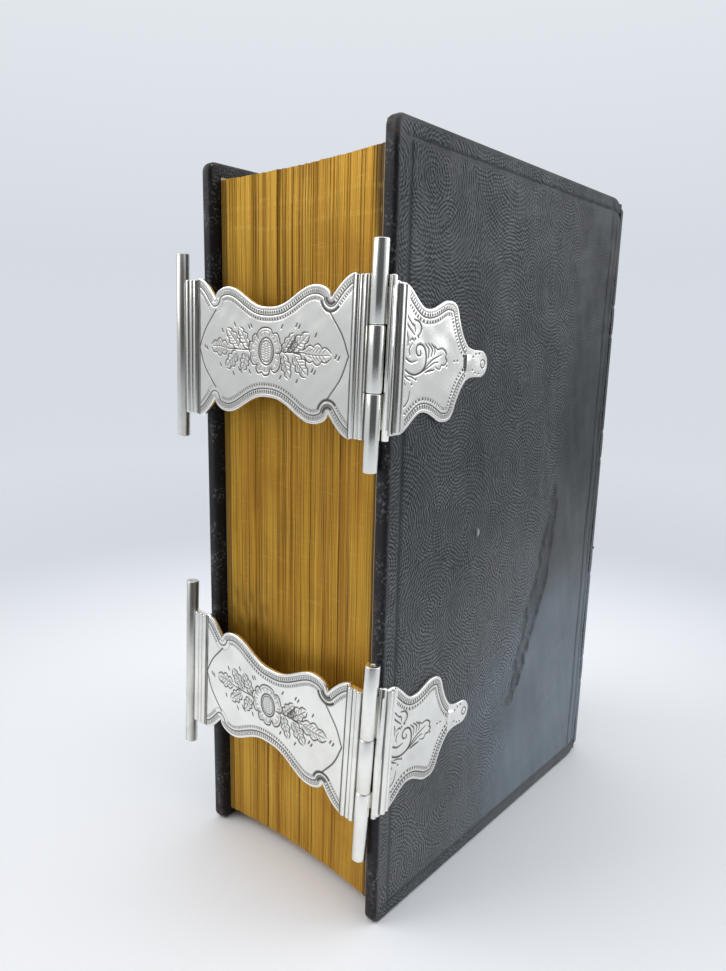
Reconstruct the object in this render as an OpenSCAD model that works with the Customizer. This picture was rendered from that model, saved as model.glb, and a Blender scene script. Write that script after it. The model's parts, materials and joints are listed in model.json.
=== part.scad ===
// Small leather-bound prayer book with gilt edges and two hinged silver clasps.
// It stands on its tail: +Z is up, -Y is the fore-edge and +Y is the spine.
// -X is the front cover. +X is the rear cover, which carries the clasps.
// The origin is at the bottom centre of the whole object's box.

/* [Covers] */
// Height of both covers
book_h = 180; // [176:1:200]
// Thickness over both covers
book_t = 61; // [58:0.5:64]
// Depth of a cover, from its fore-edge to the joint
cover_d = 108.5; // [100:0.5:120]
// Thickness of a cover: board, leather and turn-in
cover_th = 3.5; // [3.2:0.1:4]
// Thickness of the covering leather
leather_t = 0.8; // [0.5:0.1:1]
// Rounding of a cover's long edges
edge_r = 1.1; // [0.6:0.1:1.4]
// Rounding of a cover's corners, seen from the side
corner_r = 2.4; // [1:0.1:4]

/* [Text block] */
// Gap under the leaves, from the tail edge of the covers
tail_square = 3.2; // [2:0.1:5]
// Gap over the leaves, to the head edge of the covers
head_square = 4.2; // [2:0.1:6]
// How far the leaves stand back from the covers' fore-edge
fore_square = 3; // [2:0.1:5]
// Hollow of the fore-edge at its middle
fore_sag = 2; // [0:0.1:4]
// Number of sewn gatherings in the text block
gathering_count = 28; // [16:1:32]
// Thickness of a turning leaf
leaf_t = 0.25; // [0.2:0.05:0.3]

/* [Spine] */
// How far the spine stands out behind the joints
spine_round = 9.5; // [7:0.5:12]
// Raised bands across the spine
band_count = 4; // [3:1:5]
// Height of the lowest band over the tail
band_low = 30; // [20:1:40]
// Distance from band to band
band_pitch = 38.3; // [30:0.1:40]
// Height of a band off the spine
band_rise = 1.2; // [0.6:0.1:1.6]

/* [Clasps] */
// Height of the upper clasp's hinge centre
upper_z = 133.4; // [125:0.1:140]
// Height of the lower clasp's hinge centre
lower_z = 42.9; // [38:0.1:50]
// Length of the upper hinge
upper_tube = 46.6; // [42:0.1:52]
// Length of the lower hinge
lower_tube = 49.6; // [42:0.1:52]
// Lean of the upper hinge, in degrees
upper_lean = 1.9; // [0:0.1:3.5]
// Lean of the lower hinge, in degrees
lower_lean = 3.2; // [0:0.1:3.5]
// Outside diameter of the hinge tube and of the closing rod
tube_d = 3.4; // [3:0.1:3.6]
// Thickness of the strap's silver
strap_t = 0.9; // [0.7:0.1:1]
// Thickness of the anchor plate and of the catch plate
plate_t = 0.7; // [0.5:0.1:0.9]
// Distance from the hinge to the closing rod
strap_len = 64.9; // [64:0.1:66]

/* [Hidden] */

LEATHER = [0.13, 0.13, 0.15];
GILT = [0.78, 0.57, 0.16];
PAPER = [0.9, 0.86, 0.76];
BOARD = [0.5, 0.44, 0.36];
CORD = [0.72, 0.63, 0.45];
SILVER = [0.84, 0.84, 0.82];

// Gaps and fits
fit = 0.05;
joint_gap = 0.4;
curve_fn = 32;

// Covers
turn_in_t = 0.2;
turn_in_w = 12;
paste_t = 0.15;
paste_margin = 3.5;
cover_in = book_t / 2 - cover_th;

// Text block: three leaves turn on each side, and the rest is fixed
leaf_pitch = 2 * leaf_t;
leaf_top = book_h - head_square;
leaf_count = 3;
first_leaf = cover_in - paste_t - 0.4;
block_half = first_leaf - (leaf_count - 1) * leaf_pitch - leaf_t - 0.4;
gutter = 6;

// Spine, as depths below the outside of its leather
spine_power = 2.6;
arch_steps = 36;
lining_in = 3;
lining_out = 2.5;
cord_in = 2.35;
cord_out = 1;
cord_h = 2.2;
band_w = 5.2;
band_shoulder = 1.3;
endband_in = 5;
endband_out = 3.3;
endband_h = 2;

// Clasp hinge, measured from the book's middle plane and fore-edge
tube_x = book_t / 2 - 2.3;
tube_y = -2.05;
tube_r = tube_d / 2;
bore_r = 0.75;
pin_r = 0.7;
middle_knuckle = 13.5;
knuckle_gap = 0.15;
web_front = 1.05;
flange_start = 1.65;

// Strap outline, along the strap from its middle
strap_mid = 32;
wing_s = 26;
wing_h = 17.1;
cusp_s = 19.4;
cusp_h = 12.2;
lobe_s = 14.6;
lobe_h = 15;
waist_h = 10.3;
waist_power = 2.6;
strap_back = 0.55;
bead_h = 16.7;

// Anchor outline, along the plate from the cover's fore-edge
anchor_base_h = 15.4;
anchor_base_s = 2.5;
anchor_neck_h = 10.9;
anchor_neck_s = 10.9;
anchor_lobe_h = 13.2;
anchor_lobe_s = 18.6;
tab_neck_s = 27.5;
tab_r = 3.1;
tab_s = 33;
rivet_places = [27.1, 33.9];
rivet_r = 0.55;
rivet_head_r = 1.15;
rivet_head_h = 0.5;

// Hook and catch bar, measured from the hinge
hook_t = 0.8;
hook_s = 62.4;
hook_reach = 7.5;
hook_lip = 1.4;
hook_half = 9;
bar_s = 62.1;
bar_y = 4.4;
bar_t = 1.2;

// Each clasp: hinge height, hinge length, lean, strap lift, plate height, plate tilt
HINGE_Z = 0;
HINGE_L = 1;
LEAN = 2;
LIFT = 3;
PLATE_Z = 4;
TILT = 5;
UPPER = [upper_z, upper_tube, upper_lean, 0, upper_z, 1.7];
LOWER = [lower_z, lower_tube, lower_lean, 0.9, lower_z + 3, 3.4];

// The whole object's box, which sets the origin
near_reach = book_t / 2 + fit + plate_t + rivet_head_h;
far_reach = strap_len - tube_x + tube_r + lower_tube / 2 * sin(lower_lean);
front_reach = tube_r - tube_y;
back_reach = cover_d + spine_round + band_rise;
shift_x = (far_reach - near_reach) / 2;
shift_y = (front_reach - back_reach) / 2;

// ---- placing ----

// The book's own frame: X from its middle plane, Y from its fore-edge
module place() {
    translate([shift_x, shift_y, 0]) children();
}

// side is 1 for the rear cover at +X and -1 for the front cover at -X
module on_side(side) {
    place() mirror([side < 0 ? 1 : 0, 0, 0]) children();
}

// The frame of a clasp's hinge: Z along the hinge and the strap along -X
module at_hinge(clasp) {
    place() translate([tube_x, tube_y, clasp[HINGE_Z]]) rotate([0, clasp[LEAN], 0]) children();
}

// The frame of a plate that lies on a cover, with Z along the plate from the
// fore-edge, Y up the cover and X out of it
module at_plate(clasp, side, z) {
    on_side(side) translate([book_t / 2 + fit, 0, z]) rotate([-clasp[TILT], 0, 0]) children();
}

// Height of the catch plate, where the strap's far end meets the front cover
function catch_z(clasp) = clasp[HINGE_Z] + clasp[LIFT] + strap_len * sin(clasp[LEAN]);

// ---- curves ----

// Depth of the leaves' fore-edge at x
function fore_edge(x) = fore_square + fore_sag * (1 - pow(x / cover_in, 2));

// Back of the spine at x, some depth below the leather
function arch_y(x, depth) = cover_d + (spine_round - depth)
    * pow(1 - pow(abs(x) / (book_t / 2 - depth), spine_power), 1 / spine_power);

// Points round the spine from joint to joint. Rise lifts a band off it, and fades out at
// both joints.
function arch(depth, rise = 0) = [
    for (k = [0:arch_steps])
        let (t = 180 * k / arch_steps, lift = rise * pow(sin(t), 2) - depth)
        [(book_t / 2 + lift) * sign(cos(t)) * pow(abs(cos(t)), 2 / spine_power),
         cover_d + joint_gap / 2 + (spine_round + lift) * pow(sin(t), 2 / spine_power)]
];

function backwards(points) = [for (k = [len(points) - 1:-1:0]) points[k]];

// Half height of the strap at s from its middle
function strap_half(s) = let (a = abs(s))
    a < lobe_s ? waist_h + (lobe_h - waist_h) * pow(sin(90 * a / lobe_s), waist_power)
    : a < cusp_s ? cusp_h + (lobe_h - cusp_h) * sqrt(1 - pow((a - lobe_s) / (cusp_s - lobe_s), 2))
    : cusp_h + (wing_h - cusp_h) * sin(90 * (a - cusp_s) / (wing_s - cusp_s));

// Smooth step from a to b as s goes from 0 to 1
function ease(a, b, s) = a + (b - a) * (1 - cos(180 * s)) / 2;

// Half height of an anchor plate at s from the fore-edge
function anchor_half(s) =
    s < anchor_base_s ? anchor_base_h
    : s < anchor_neck_s ? ease(anchor_base_h, anchor_neck_h,
        (s - anchor_base_s) / (anchor_neck_s - anchor_base_s))
    : s < anchor_lobe_s ? ease(anchor_neck_h, anchor_lobe_h,
        pow((s - anchor_neck_s) / (anchor_lobe_s - anchor_neck_s), 1.15))
    : s < tab_neck_s ? tab_r + 0.5 + (anchor_lobe_h - tab_r - 0.5)
        * pow(cos(90 * (s - anchor_lobe_s) / (tab_neck_s - anchor_lobe_s)), 0.95)
    : tab_r;

// A closed outline with the same half height each way
function mirrored(half) = concat(half, [for (k = [len(half) - 1:-1:0]) [half[k][0], -half[k][1]]]);

// ---- text block and spine ----

module shell(outer, inner) {
    polygon(concat(outer, backwards(inner)));
}

module gatherings() color(GILT) place() {
    pitch = 2 * block_half / gathering_count;
    for (k = [0:gathering_count - 1]) {
        x0 = -block_half + k * pitch;
        x1 = x0 + pitch - fit;
        translate([0, 0, tail_square]) linear_extrude(leaf_top - tail_square)
            polygon([
                [x0, fore_edge(x0)], [x1, fore_edge(x1)],
                [x1, arch_y(x1, lining_in + 0.1)], [x0, arch_y(x0, lining_in + 0.1)]
            ]);
    }
}

module spine_lining() color(PAPER) place() {
    translate([0, 0, tail_square]) linear_extrude(leaf_top - tail_square)
        shell(arch(lining_out), arch(lining_in));
}

module sewing_cords() color(CORD) place() {
    for (k = [0:band_count - 1])
        translate([0, 0, band_low + k * band_pitch - cord_h / 2]) linear_extrude(cord_h)
            shell(arch(cord_out), arch(cord_in));
}

// A raised band is a broad low step with a narrower one on it
module raised_band() {
    translate([0, 0, -band_w / 2]) linear_extrude(band_w)
        shell(arch(0, band_rise / 2), arch(leather_t / 2));
    translate([0, 0, -band_w / 2 + band_shoulder / 2]) linear_extrude(band_w - band_shoulder)
        shell(arch(0, band_rise), arch(leather_t / 2));
}

module spine_leather() color(LEATHER) place() {
    linear_extrude(book_h) shell(arch(0), arch(leather_t));
    for (k = [0:band_count - 1])
        translate([0, 0, band_low + k * band_pitch]) raised_band();
}

module endband(z) color(PAPER) place() {
    translate([0, 0, z]) linear_extrude(endband_h) intersection() {
        shell(arch(endband_out), arch(endband_in));
        translate([-block_half, cover_d]) square([2 * block_half, spine_round]);
    }
}

module head_band() endband(leaf_top + 0.1);

module tail_band() endband(tail_square - endband_h - 0.1);

// ---- covers ----

function arc(x, y, r, from) = [
    for (k = [0:6]) [x + r * cos(from + 15 * k), y + r * sin(from + 15 * k)]
];

// A rectangle from the origin with all four corners rounded
module rounded(w, h, r) {
    polygon(concat(
        arc(w - r, r, r, -90), arc(w - r, h - r, r, 0), arc(r, h - r, r, 90), arc(r, r, r, 180)
    ));
}

// The whole cover as one block, rounded on its three free edges
module cover_block() {
    past = 10;
    depth = cover_d - joint_gap;
    translate([cover_in, 0, 0]) intersection() {
        linear_extrude(book_h) rounded(cover_th, depth + past, edge_r);
        translate([0, depth, 0]) rotate([90, 0, 0]) linear_extrude(depth)
            rounded(cover_th, book_h, edge_r);
        rotate([90, 0, 90]) linear_extrude(cover_th) rounded(depth + past, book_h, corner_r);
        cube([cover_th, depth, book_h]);
    }
}

module board_block(grow) {
    edge = leather_t - grow;
    translate([cover_in + turn_in_t - grow, edge, edge])
        cube([cover_th - leather_t - turn_in_t + 2 * grow, cover_d, book_h - 2 * edge]);
}

// Shanks of the four rivets that hold the silver plates of one cover
module rivet_shanks(side, r) {
    for (clasp = [UPPER, LOWER])
        for (s = rivet_places)
            translate([book_t / 2 + fit, 0, plate_z(clasp, side)]) rotate([-clasp[TILT], 0, 0])
                translate([-cover_th - 1, s, 0]) rotate([0, 90, 0])
                    cylinder(h = cover_th + 3, r = r, $fn = curve_fn);
}

function plate_z(clasp, side) = side > 0 ? clasp[PLATE_Z] : catch_z(clasp);

module board(side) color(BOARD) on_side(side) difference() {
    intersection() {
        board_block(0);
        cube([book_t, cover_d - joint_gap, book_h]);
    }
    rivet_shanks(side, rivet_r + fit);
}

module cover_leather(side) color(LEATHER) on_side(side) difference() {
    cover_block();
    board_block(fit);
    // window inside the turned-in leather
    translate([cover_in - 1, turn_in_w, turn_in_w])
        cube([2, cover_d, book_h - 2 * turn_in_w]);
    rivet_shanks(side, rivet_r + fit);
}

module pastedown(side) color(PAPER) on_side(side) {
    translate([cover_in - paste_t - fit / 2, paste_margin, paste_margin])
        cube([paste_t, cover_d - paste_margin - 1, book_h - 2 * paste_margin]);
}

module front_board() board(-1);
module rear_board() board(1);
module front_cover_leather() cover_leather(-1);
module rear_cover_leather() cover_leather(1);
module front_pastedown() pastedown(-1);
module rear_pastedown() pastedown(1);

// ---- leaves that turn ----

// Leaf number k, counted inwards from the cover
module leaf(side, k) color(PAPER) on_side(side) {
    x = first_leaf - k * leaf_pitch;
    translate([x - leaf_t, fore_edge(x), tail_square])
        cube([leaf_t, cover_d - gutter - fore_edge(x), leaf_top - tail_square]);
}

// The sewn-in strip of each turning leaf, between its fold and the spine
module leaf_stubs() color(PAPER) {
    for (side = [-1, 1])
        for (k = [0:leaf_count - 1]) {
            x = first_leaf - k * leaf_pitch;
            start = cover_d - gutter + leaf_t;
            on_side(side) translate([x - leaf_t, start, tail_square])
                cube([leaf_t, arch_y(x, lining_in + 0.2) - start, leaf_top - tail_square]);
        }
}

module front_flyleaf() leaf(-1, 0);
module front_blank_leaf() leaf(-1, 1);
module front_title_leaf() leaf(-1, 2);
module rear_flyleaf() leaf(1, 0);
module rear_blank_leaf() leaf(1, 1);
module rear_last_leaf() leaf(1, 2);

// ---- silver plates on the covers ----

module plate_outline() {
    base = [for (s = [-2, anchor_base_s]) [s, anchor_base_h]];
    sides = [for (k = [1:26]) let (s = anchor_base_s + k) if (s < tab_s) [s, anchor_half(s)]];
    tab = [for (a = [90:-15:15]) [tab_s + tab_r * cos(a), tab_r * sin(a)]];
    polygon(mirrored(concat(base, sides, tab)));
}

// The plate's front edge is cut straight, just proud of the cover's fore-edge
module cover_plate(clasp, side) {
    difference() {
        intersection() {
            at_plate(clasp, side, plate_z(clasp, side))
                rotate([90, 0, 90]) linear_extrude(plate_t) plate_outline();
            place() translate([-book_t, -0.2, 0]) cube([2 * book_t, cover_d, book_h]);
        }
        on_side(side) rivet_shanks(side, rivet_r + fit);
    }
}

module anchor_plate(clasp) color(SILVER) cover_plate(clasp, 1);

// The catch plate has a bar along it that the hook snaps behind
module catch_plate(clasp) color(SILVER) {
    cover_plate(clasp, -1);
    intersection() {
        at_hinge(clasp) translate([-bar_s, bar_y, clasp[LIFT] - hook_half])
            cube([bar_s - strap_len + hook_reach, bar_t, 2 * hook_half]);
        place() translate([-book_t / 2 - fit - 9, 0, 0]) cube([9, cover_d, book_h]);
    }
}

// Each rivet has a low domed head on the plate and a shank into the board
module plate_rivets(clasp, side) color(SILVER) {
    shank = plate_t + cover_th - turn_in_t - 0.4;
    dome = (pow(rivet_head_r, 2) + pow(rivet_head_h, 2)) / (2 * rivet_head_h);
    at_plate(clasp, side, plate_z(clasp, side))
        for (s = rivet_places) translate([plate_t + fit, s, 0]) rotate([0, 90, 0]) {
            intersection() {
                cylinder(h = rivet_head_h, r = rivet_head_r, $fn = curve_fn);
                translate([0, 0, rivet_head_h - dome]) sphere(r = dome, $fn = curve_fn);
            }
            translate([0, 0, -shank])
                cylinder(h = shank + rivet_head_h / 4, r = rivet_r, $fn = curve_fn);
        }
}

// A bead: a round bar along Z with its flat back cut off
module bead(r, half) {
    difference() {
        translate([0, 0, -half]) cylinder(h = 2 * half, r = r, $fn = curve_fn);
        translate([-2 * r, 0, -half - 1]) cube([4 * r, 2 * r, 2 * half + 2]);
    }
}

module anchor_beads(clasp) color(SILVER) {
    at_plate(clasp, 1, clasp[PLATE_Z])
        for (b = [[1.3, 0.75], [2.8, 0.55]])
            translate([plate_t + fit, b[0], 0]) rotate([0, 0, 90]) bead(b[1], anchor_base_h - 0.4);
}

// ---- hinges ----

module tube(z0, z1) {
    translate([0, 0, z0]) difference() {
        cylinder(h = z1 - z0, r = tube_r, $fn = curve_fn);
        translate([0, 0, -1]) cylinder(h = z1 - z0 + 2, r = bore_r, $fn = curve_fn);
    }
}

// A flat web from a knuckle to its plate, with the bore kept open
module web(x0, x1, y0, y1, z0, z1) {
    difference() {
        translate([x0, y0, z0]) cube([x1 - x0, y1 - y0, z1 - z0]);
        translate([0, 0, z0 - 1]) cylinder(h = z1 - z0 + 2, r = bore_r, $fn = curve_fn);
    }
}

// Top and bottom knuckles, whose webs pass in front of the cover's edge to the plate. A
// flange joins the webs past the middle knuckle.
module anchor_knuckles(clasp) color(SILVER) at_hinge(clasp) {
    half = clasp[HINGE_L] / 2;
    step = middle_knuckle / 2 + knuckle_gap;
    plate_mid = clasp[PLATE_Z] - clasp[HINGE_Z];
    web_top = plate_mid + anchor_base_h - 1;
    web_low = plate_mid - anchor_base_h + 1;
    web_end = book_t / 2 + plate_t - tube_x - 0.1;
    web_back = -tube_y - 0.3;
    tube(step, half);
    web(1, web_end, web_front, web_back, step, web_top);
    tube(-half, -step);
    web(1, web_end, web_front, web_back, web_low, -step);
    web(flange_start, web_end, web_front, web_back, web_low, web_top);
}

module hinge_pin(clasp) color(SILVER) at_hinge(clasp) {
    half = clasp[HINGE_L] / 2 - 0.2;
    translate([0, 0, -half]) cylinder(h = 2 * half, r = pin_r, $fn = curve_fn);
}

// The strap's own knuckle turns between the other two
module strap_knuckle(clasp) color(SILVER) at_hinge(clasp) {
    half = middle_knuckle / 2;
    tube(-half, half);
    web(-1.85, -1, strap_back - strap_t, strap_back, -half, half);
}

// ---- straps ----

// The strap's silver between its wings, then a straight leaf to each end
module strap_outline() {
    wings = [for (k = [-26:26]) let (s = k * wing_s / 26) [s - strap_mid, strap_half(s)]];
    polygon(mirrored(concat(
        [[-strap_len + tube_r + 0.1, bead_h], [-strap_mid - wing_s, bead_h]],
        wings,
        [[-strap_mid + wing_s, bead_h], [-tube_r - 0.2, bead_h]]
    )));
}

module strap(clasp) color(SILVER) at_hinge(clasp) {
    translate([0, strap_back, clasp[LIFT]]) rotate([90, 0, 0]) linear_extrude(strap_t) strap_outline();
}

module strap_beads(clasp, beads) color(SILVER) at_hinge(clasp) {
    for (b = beads)
        translate([-b[0], strap_back - strap_t - fit / 2, clasp[LIFT]]) bead(b[1], bead_h);
}

module hinge_beads(clasp) strap_beads(clasp, [[5.2, 0.65], [3.9, 0.5], [2.7, 0.6]]);

module catch_beads(clasp) strap_beads(clasp, [[58.9, 0.6], [60.3, 0.6], [61.9, 0.75]]);

// The bar at the free end, which the fingers pull
module closing_rod(clasp) color(SILVER) at_hinge(clasp) {
    half = clasp[HINGE_L] / 2;
    translate([-strap_len, 0, clasp[LIFT] - half]) cylinder(h = 2 * half, r = tube_r, $fn = curve_fn);
}

// A leg behind the strap with a lip that snaps over the catch bar
module hook(clasp) color(SILVER) at_hinge(clasp) {
    translate([-hook_s - hook_t, strap_back + fit, clasp[LIFT] - hook_half])
        cube([hook_t, hook_reach - strap_back - fit, 2 * hook_half]);
    translate([-hook_s - hook_t / 2, hook_reach - hook_t, clasp[LIFT] - hook_half])
        cube([hook_lip + hook_t / 2, hook_t, 2 * hook_half]);
}

gatherings();
spine_lining();
sewing_cords();
spine_leather();
head_band();
tail_band();
leaf_stubs();
front_board();
front_cover_leather();
front_pastedown();
catch_plate(UPPER);  // upper_catch_plate
catch_plate(LOWER);  // lower_catch_plate
plate_rivets(UPPER, -1);  // upper_catch_rivets
plate_rivets(LOWER, -1);  // lower_catch_rivets
rear_board();
rear_cover_leather();
rear_pastedown();
anchor_plate(UPPER);  // upper_anchor_plate
anchor_plate(LOWER);  // lower_anchor_plate
anchor_beads(UPPER);  // upper_anchor_beads
anchor_beads(LOWER);  // lower_anchor_beads
anchor_knuckles(UPPER);  // upper_anchor_knuckles
anchor_knuckles(LOWER);  // lower_anchor_knuckles
plate_rivets(UPPER, 1);  // upper_anchor_rivets
plate_rivets(LOWER, 1);  // lower_anchor_rivets
hinge_pin(UPPER);  // upper_hinge_pin
hinge_pin(LOWER);  // lower_hinge_pin
strap(UPPER);  // upper_strap
strap(LOWER);  // lower_strap
strap_knuckle(UPPER);  // upper_strap_knuckle
strap_knuckle(LOWER);  // lower_strap_knuckle
hinge_beads(UPPER);  // upper_hinge_beads
hinge_beads(LOWER);  // lower_hinge_beads
catch_beads(UPPER);  // upper_catch_beads
catch_beads(LOWER);  // lower_catch_beads
closing_rod(UPPER);  // upper_closing_rod
closing_rod(LOWER);  // lower_closing_rod
hook(UPPER);  // upper_hook
hook(LOWER);  // lower_hook
front_flyleaf();
front_blank_leaf();
front_title_leaf();
rear_flyleaf();
rear_blank_leaf();
rear_last_leaf();
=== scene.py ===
"""A leather-bound prayer book with gilt edges and two engraved silver clasps.

Sizes are millimetres in the book's own frame: X from its middle plane, Y from the covers' fore-edge
to the spine, Z up from the tail. Piece.make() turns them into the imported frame's metres.
"""

import json
import math

import bmesh
import bpy
import numpy as np
from mathutils import Matrix, Vector, kdtree

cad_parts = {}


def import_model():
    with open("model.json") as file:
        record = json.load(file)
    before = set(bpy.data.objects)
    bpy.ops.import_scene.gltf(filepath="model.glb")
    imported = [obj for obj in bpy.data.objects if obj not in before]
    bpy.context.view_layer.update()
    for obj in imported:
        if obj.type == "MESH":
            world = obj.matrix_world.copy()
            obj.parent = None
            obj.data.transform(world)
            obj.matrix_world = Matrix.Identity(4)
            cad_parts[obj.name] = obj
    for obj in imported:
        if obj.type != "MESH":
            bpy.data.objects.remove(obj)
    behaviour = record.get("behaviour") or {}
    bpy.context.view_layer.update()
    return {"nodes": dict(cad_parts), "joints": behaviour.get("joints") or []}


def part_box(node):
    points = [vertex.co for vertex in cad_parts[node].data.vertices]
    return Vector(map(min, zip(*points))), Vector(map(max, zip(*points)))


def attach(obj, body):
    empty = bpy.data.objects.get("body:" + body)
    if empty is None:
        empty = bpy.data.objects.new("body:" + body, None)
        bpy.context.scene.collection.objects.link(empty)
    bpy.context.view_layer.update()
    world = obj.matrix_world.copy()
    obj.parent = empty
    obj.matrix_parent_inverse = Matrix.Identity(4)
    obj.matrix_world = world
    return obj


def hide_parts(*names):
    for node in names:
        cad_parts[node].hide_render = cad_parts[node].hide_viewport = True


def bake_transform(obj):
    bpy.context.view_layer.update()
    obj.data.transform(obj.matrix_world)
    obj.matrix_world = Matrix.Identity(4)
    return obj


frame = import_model()

# ---- sizes ----

MM = 0.001
WELD = 0.0002  # points closer than this are joined
FRONT, REAR = -1, 1
SIDES = {"front": FRONT, "rear": REAR}

front_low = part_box("front_cover_leather")[0] / MM
rear_low, rear_high = (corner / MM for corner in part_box("rear_cover_leather"))
ORIGIN = np.array([(front_low.x + rear_high.x) / 2, rear_low.y, 0.0])
BOOK_H = rear_high.z
BOOK_T = rear_high.x - front_low.x
COVER_TH = rear_high.x - rear_low.x
COVER_D = rear_high.y - rear_low.y
JOINT_Y = COVER_D + 0.4  # where the spine starts, past the leather joint
COVER_IN = BOOK_T / 2 - COVER_TH
LEATHER_T = 0.8
TURN_IN_T = 0.2
TURN_IN_W = 12.0
TURN_IN_GAP = 0.75  # between the leather and its turned-in border, where the board's edge is
EDGE_R = 1.1
CORNER_R = 2.4
CORNER_DROP = 1.2  # how far a cover's corners by the spine round down

leaf_low, leaf_high = (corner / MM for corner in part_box("gatherings"))
LEAF_Z = (leaf_low.z, leaf_high.z)
BLOCK_HALF = (leaf_high.x - leaf_low.x) / 2
FORE_SQUARE = 3.0
FORE_SAG = 2.0
GATHERINGS = 28
GATHERING_T = 1.77
LEAF_T = 0.25
STAIN = (-19.0, 67.0)  # X and Z of a brown patch on the fore-edge
LEAVES = {
    FRONT: ("front_flyleaf", "front_blank_leaf", "front_title_leaf"),
    REAR: ("rear_flyleaf", "rear_blank_leaf", "rear_last_leaf"),
}

SPINE_ROUND = 9.5
SPINE_POWER = 2.6
HEADCAP_R = 2.6
HEADCAP_START = 40  # how soon round the spine the rolled ends reach their full roll
SPINE_SINK = 1.3  # how far the spine leather ends inside the covers' height
BAND_Z = [30 + 38.3 * k for k in range(4)]
BAND_RISE = 1.2
FLAKE = (22.0, 72.2)  # a scrap of torn leather on the spine: degrees round it, and Z
BAND_W = 5.2
LINING_IN = 3.1
ENDBAND_DEPTH = 4.15

STRAP_LEN = 64.9
STRAP_FRONT = -0.35  # Y of the strap's face, from the hinge
STRAP_T = 0.9
BEAD_HALF = 16.7
TUBE_R = 1.7
BORE_R = 0.75
MIDDLE_KNUCKLE = 13.5
KNUCKLE_GAP = 0.15
FLANGE_BEAD = (2.1, 1.7)  # X and Y of the round bead where a hinge's web meets its plate, from the hinge
FLANGE_BEAD_R = 0.85
WEB_HALF = 14.4
PLATE_T = 0.7
CUT_DEPTH = 0.06  # of the engraving
CLASPS = {
    "upper": {"tube": 46.6, "lift": 0.0, "plate_z": 133.4, "tilt": 1.7},
    "lower": {"tube": 49.6, "lift": 0.9, "plate_z": 45.9, "tilt": 3.4},
}
for clasp_name, clasp in CLASPS.items():
    joint = next(j for j in frame["joints"] if j["name"] == f"{clasp_name}_clasp_hinge")
    clasp["hinge"] = np.array(joint["pos_m"]) / MM - ORIGIN
    clasp["lean"] = math.atan2(joint["axis"][0], joint["axis"][2])
    clasp["catch_z"] = clasp["hinge"][2] + clasp["lift"] + STRAP_LEN * math.sin(clasp["lean"])

# ---- number helpers ----


def smoothstep(low, high, x):
    t = np.clip((x - low) / (high - low), 0, 1)
    return t * t * (3 - 2 * t)


def wobble(points, pitch, seed, waves=7):
    """A smooth pseudo-random field from about -1 to 1, made of sine waves of about this pitch."""
    rng = np.random.default_rng(seed)
    points = np.asarray(points, float)
    total = np.zeros(points.shape[:-1])
    for _ in range(waves):
        way = rng.normal(size=points.shape[-1])
        way *= 2 * math.pi / pitch * rng.uniform(0.6, 1.5) / np.linalg.norm(way)
        total += np.sin(points @ way + rng.uniform(0, 2 * math.pi))
    return total * math.sqrt(2 / waves) / 1.6


def steps(*stops):
    """Values from stop to stop. Each stop after the first is (value, spacing up to it)."""
    values = [stops[0]]
    for end, spacing in stops[1:]:
        count = max(1, round((end - values[-1]) / spacing))
        values += list(np.linspace(values[-1], end, count + 1)[1:])
    return np.array(values)


def round_off(depth, radius):
    """How far a rounded edge falls away at some depth in from it."""
    inside = np.clip(radius - depth, 0, radius)
    return radius - np.sqrt(radius**2 - inside**2)


def spline(points, spacing=0.15):
    """A smooth curve through the points, as points a spacing apart."""
    p = np.asarray(points, float)
    if len(p) == 2:
        count = max(2, int(np.linalg.norm(p[1] - p[0]) / spacing) + 1)
        return np.linspace(p[0], p[1], count)
    ends = np.vstack([2 * p[0] - p[1], p, 2 * p[-1] - p[-2]])
    out = []
    for a, b, c, d in zip(ends, ends[1:], ends[2:], ends[3:]):
        count = max(2, int(np.linalg.norm(c - b) / spacing))
        t = np.linspace(0, 1, count, endpoint=False)[:, None]
        square, cube = 2 * a - 5 * b + 4 * c - d, 3 * b - a - 3 * c + d
        out.append(0.5 * (2 * b + (c - a) * t + square * t**2 + cube * t**3))
    return np.vstack([*out, p[-1:]])


# ---- mesh helpers ----


def grid_faces(rows, cols, wrap=False):
    """Quads of a grid of rows x cols points; wrap joins the last column to the first."""
    index = np.arange(rows * cols).reshape(rows, cols)
    if wrap:
        index = np.hstack([index, index[:, :1]])
    return np.stack([index[:-1, :-1], index[:-1, 1:], index[1:, 1:], index[1:, :-1]], -1).reshape(-1, 4)


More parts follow.
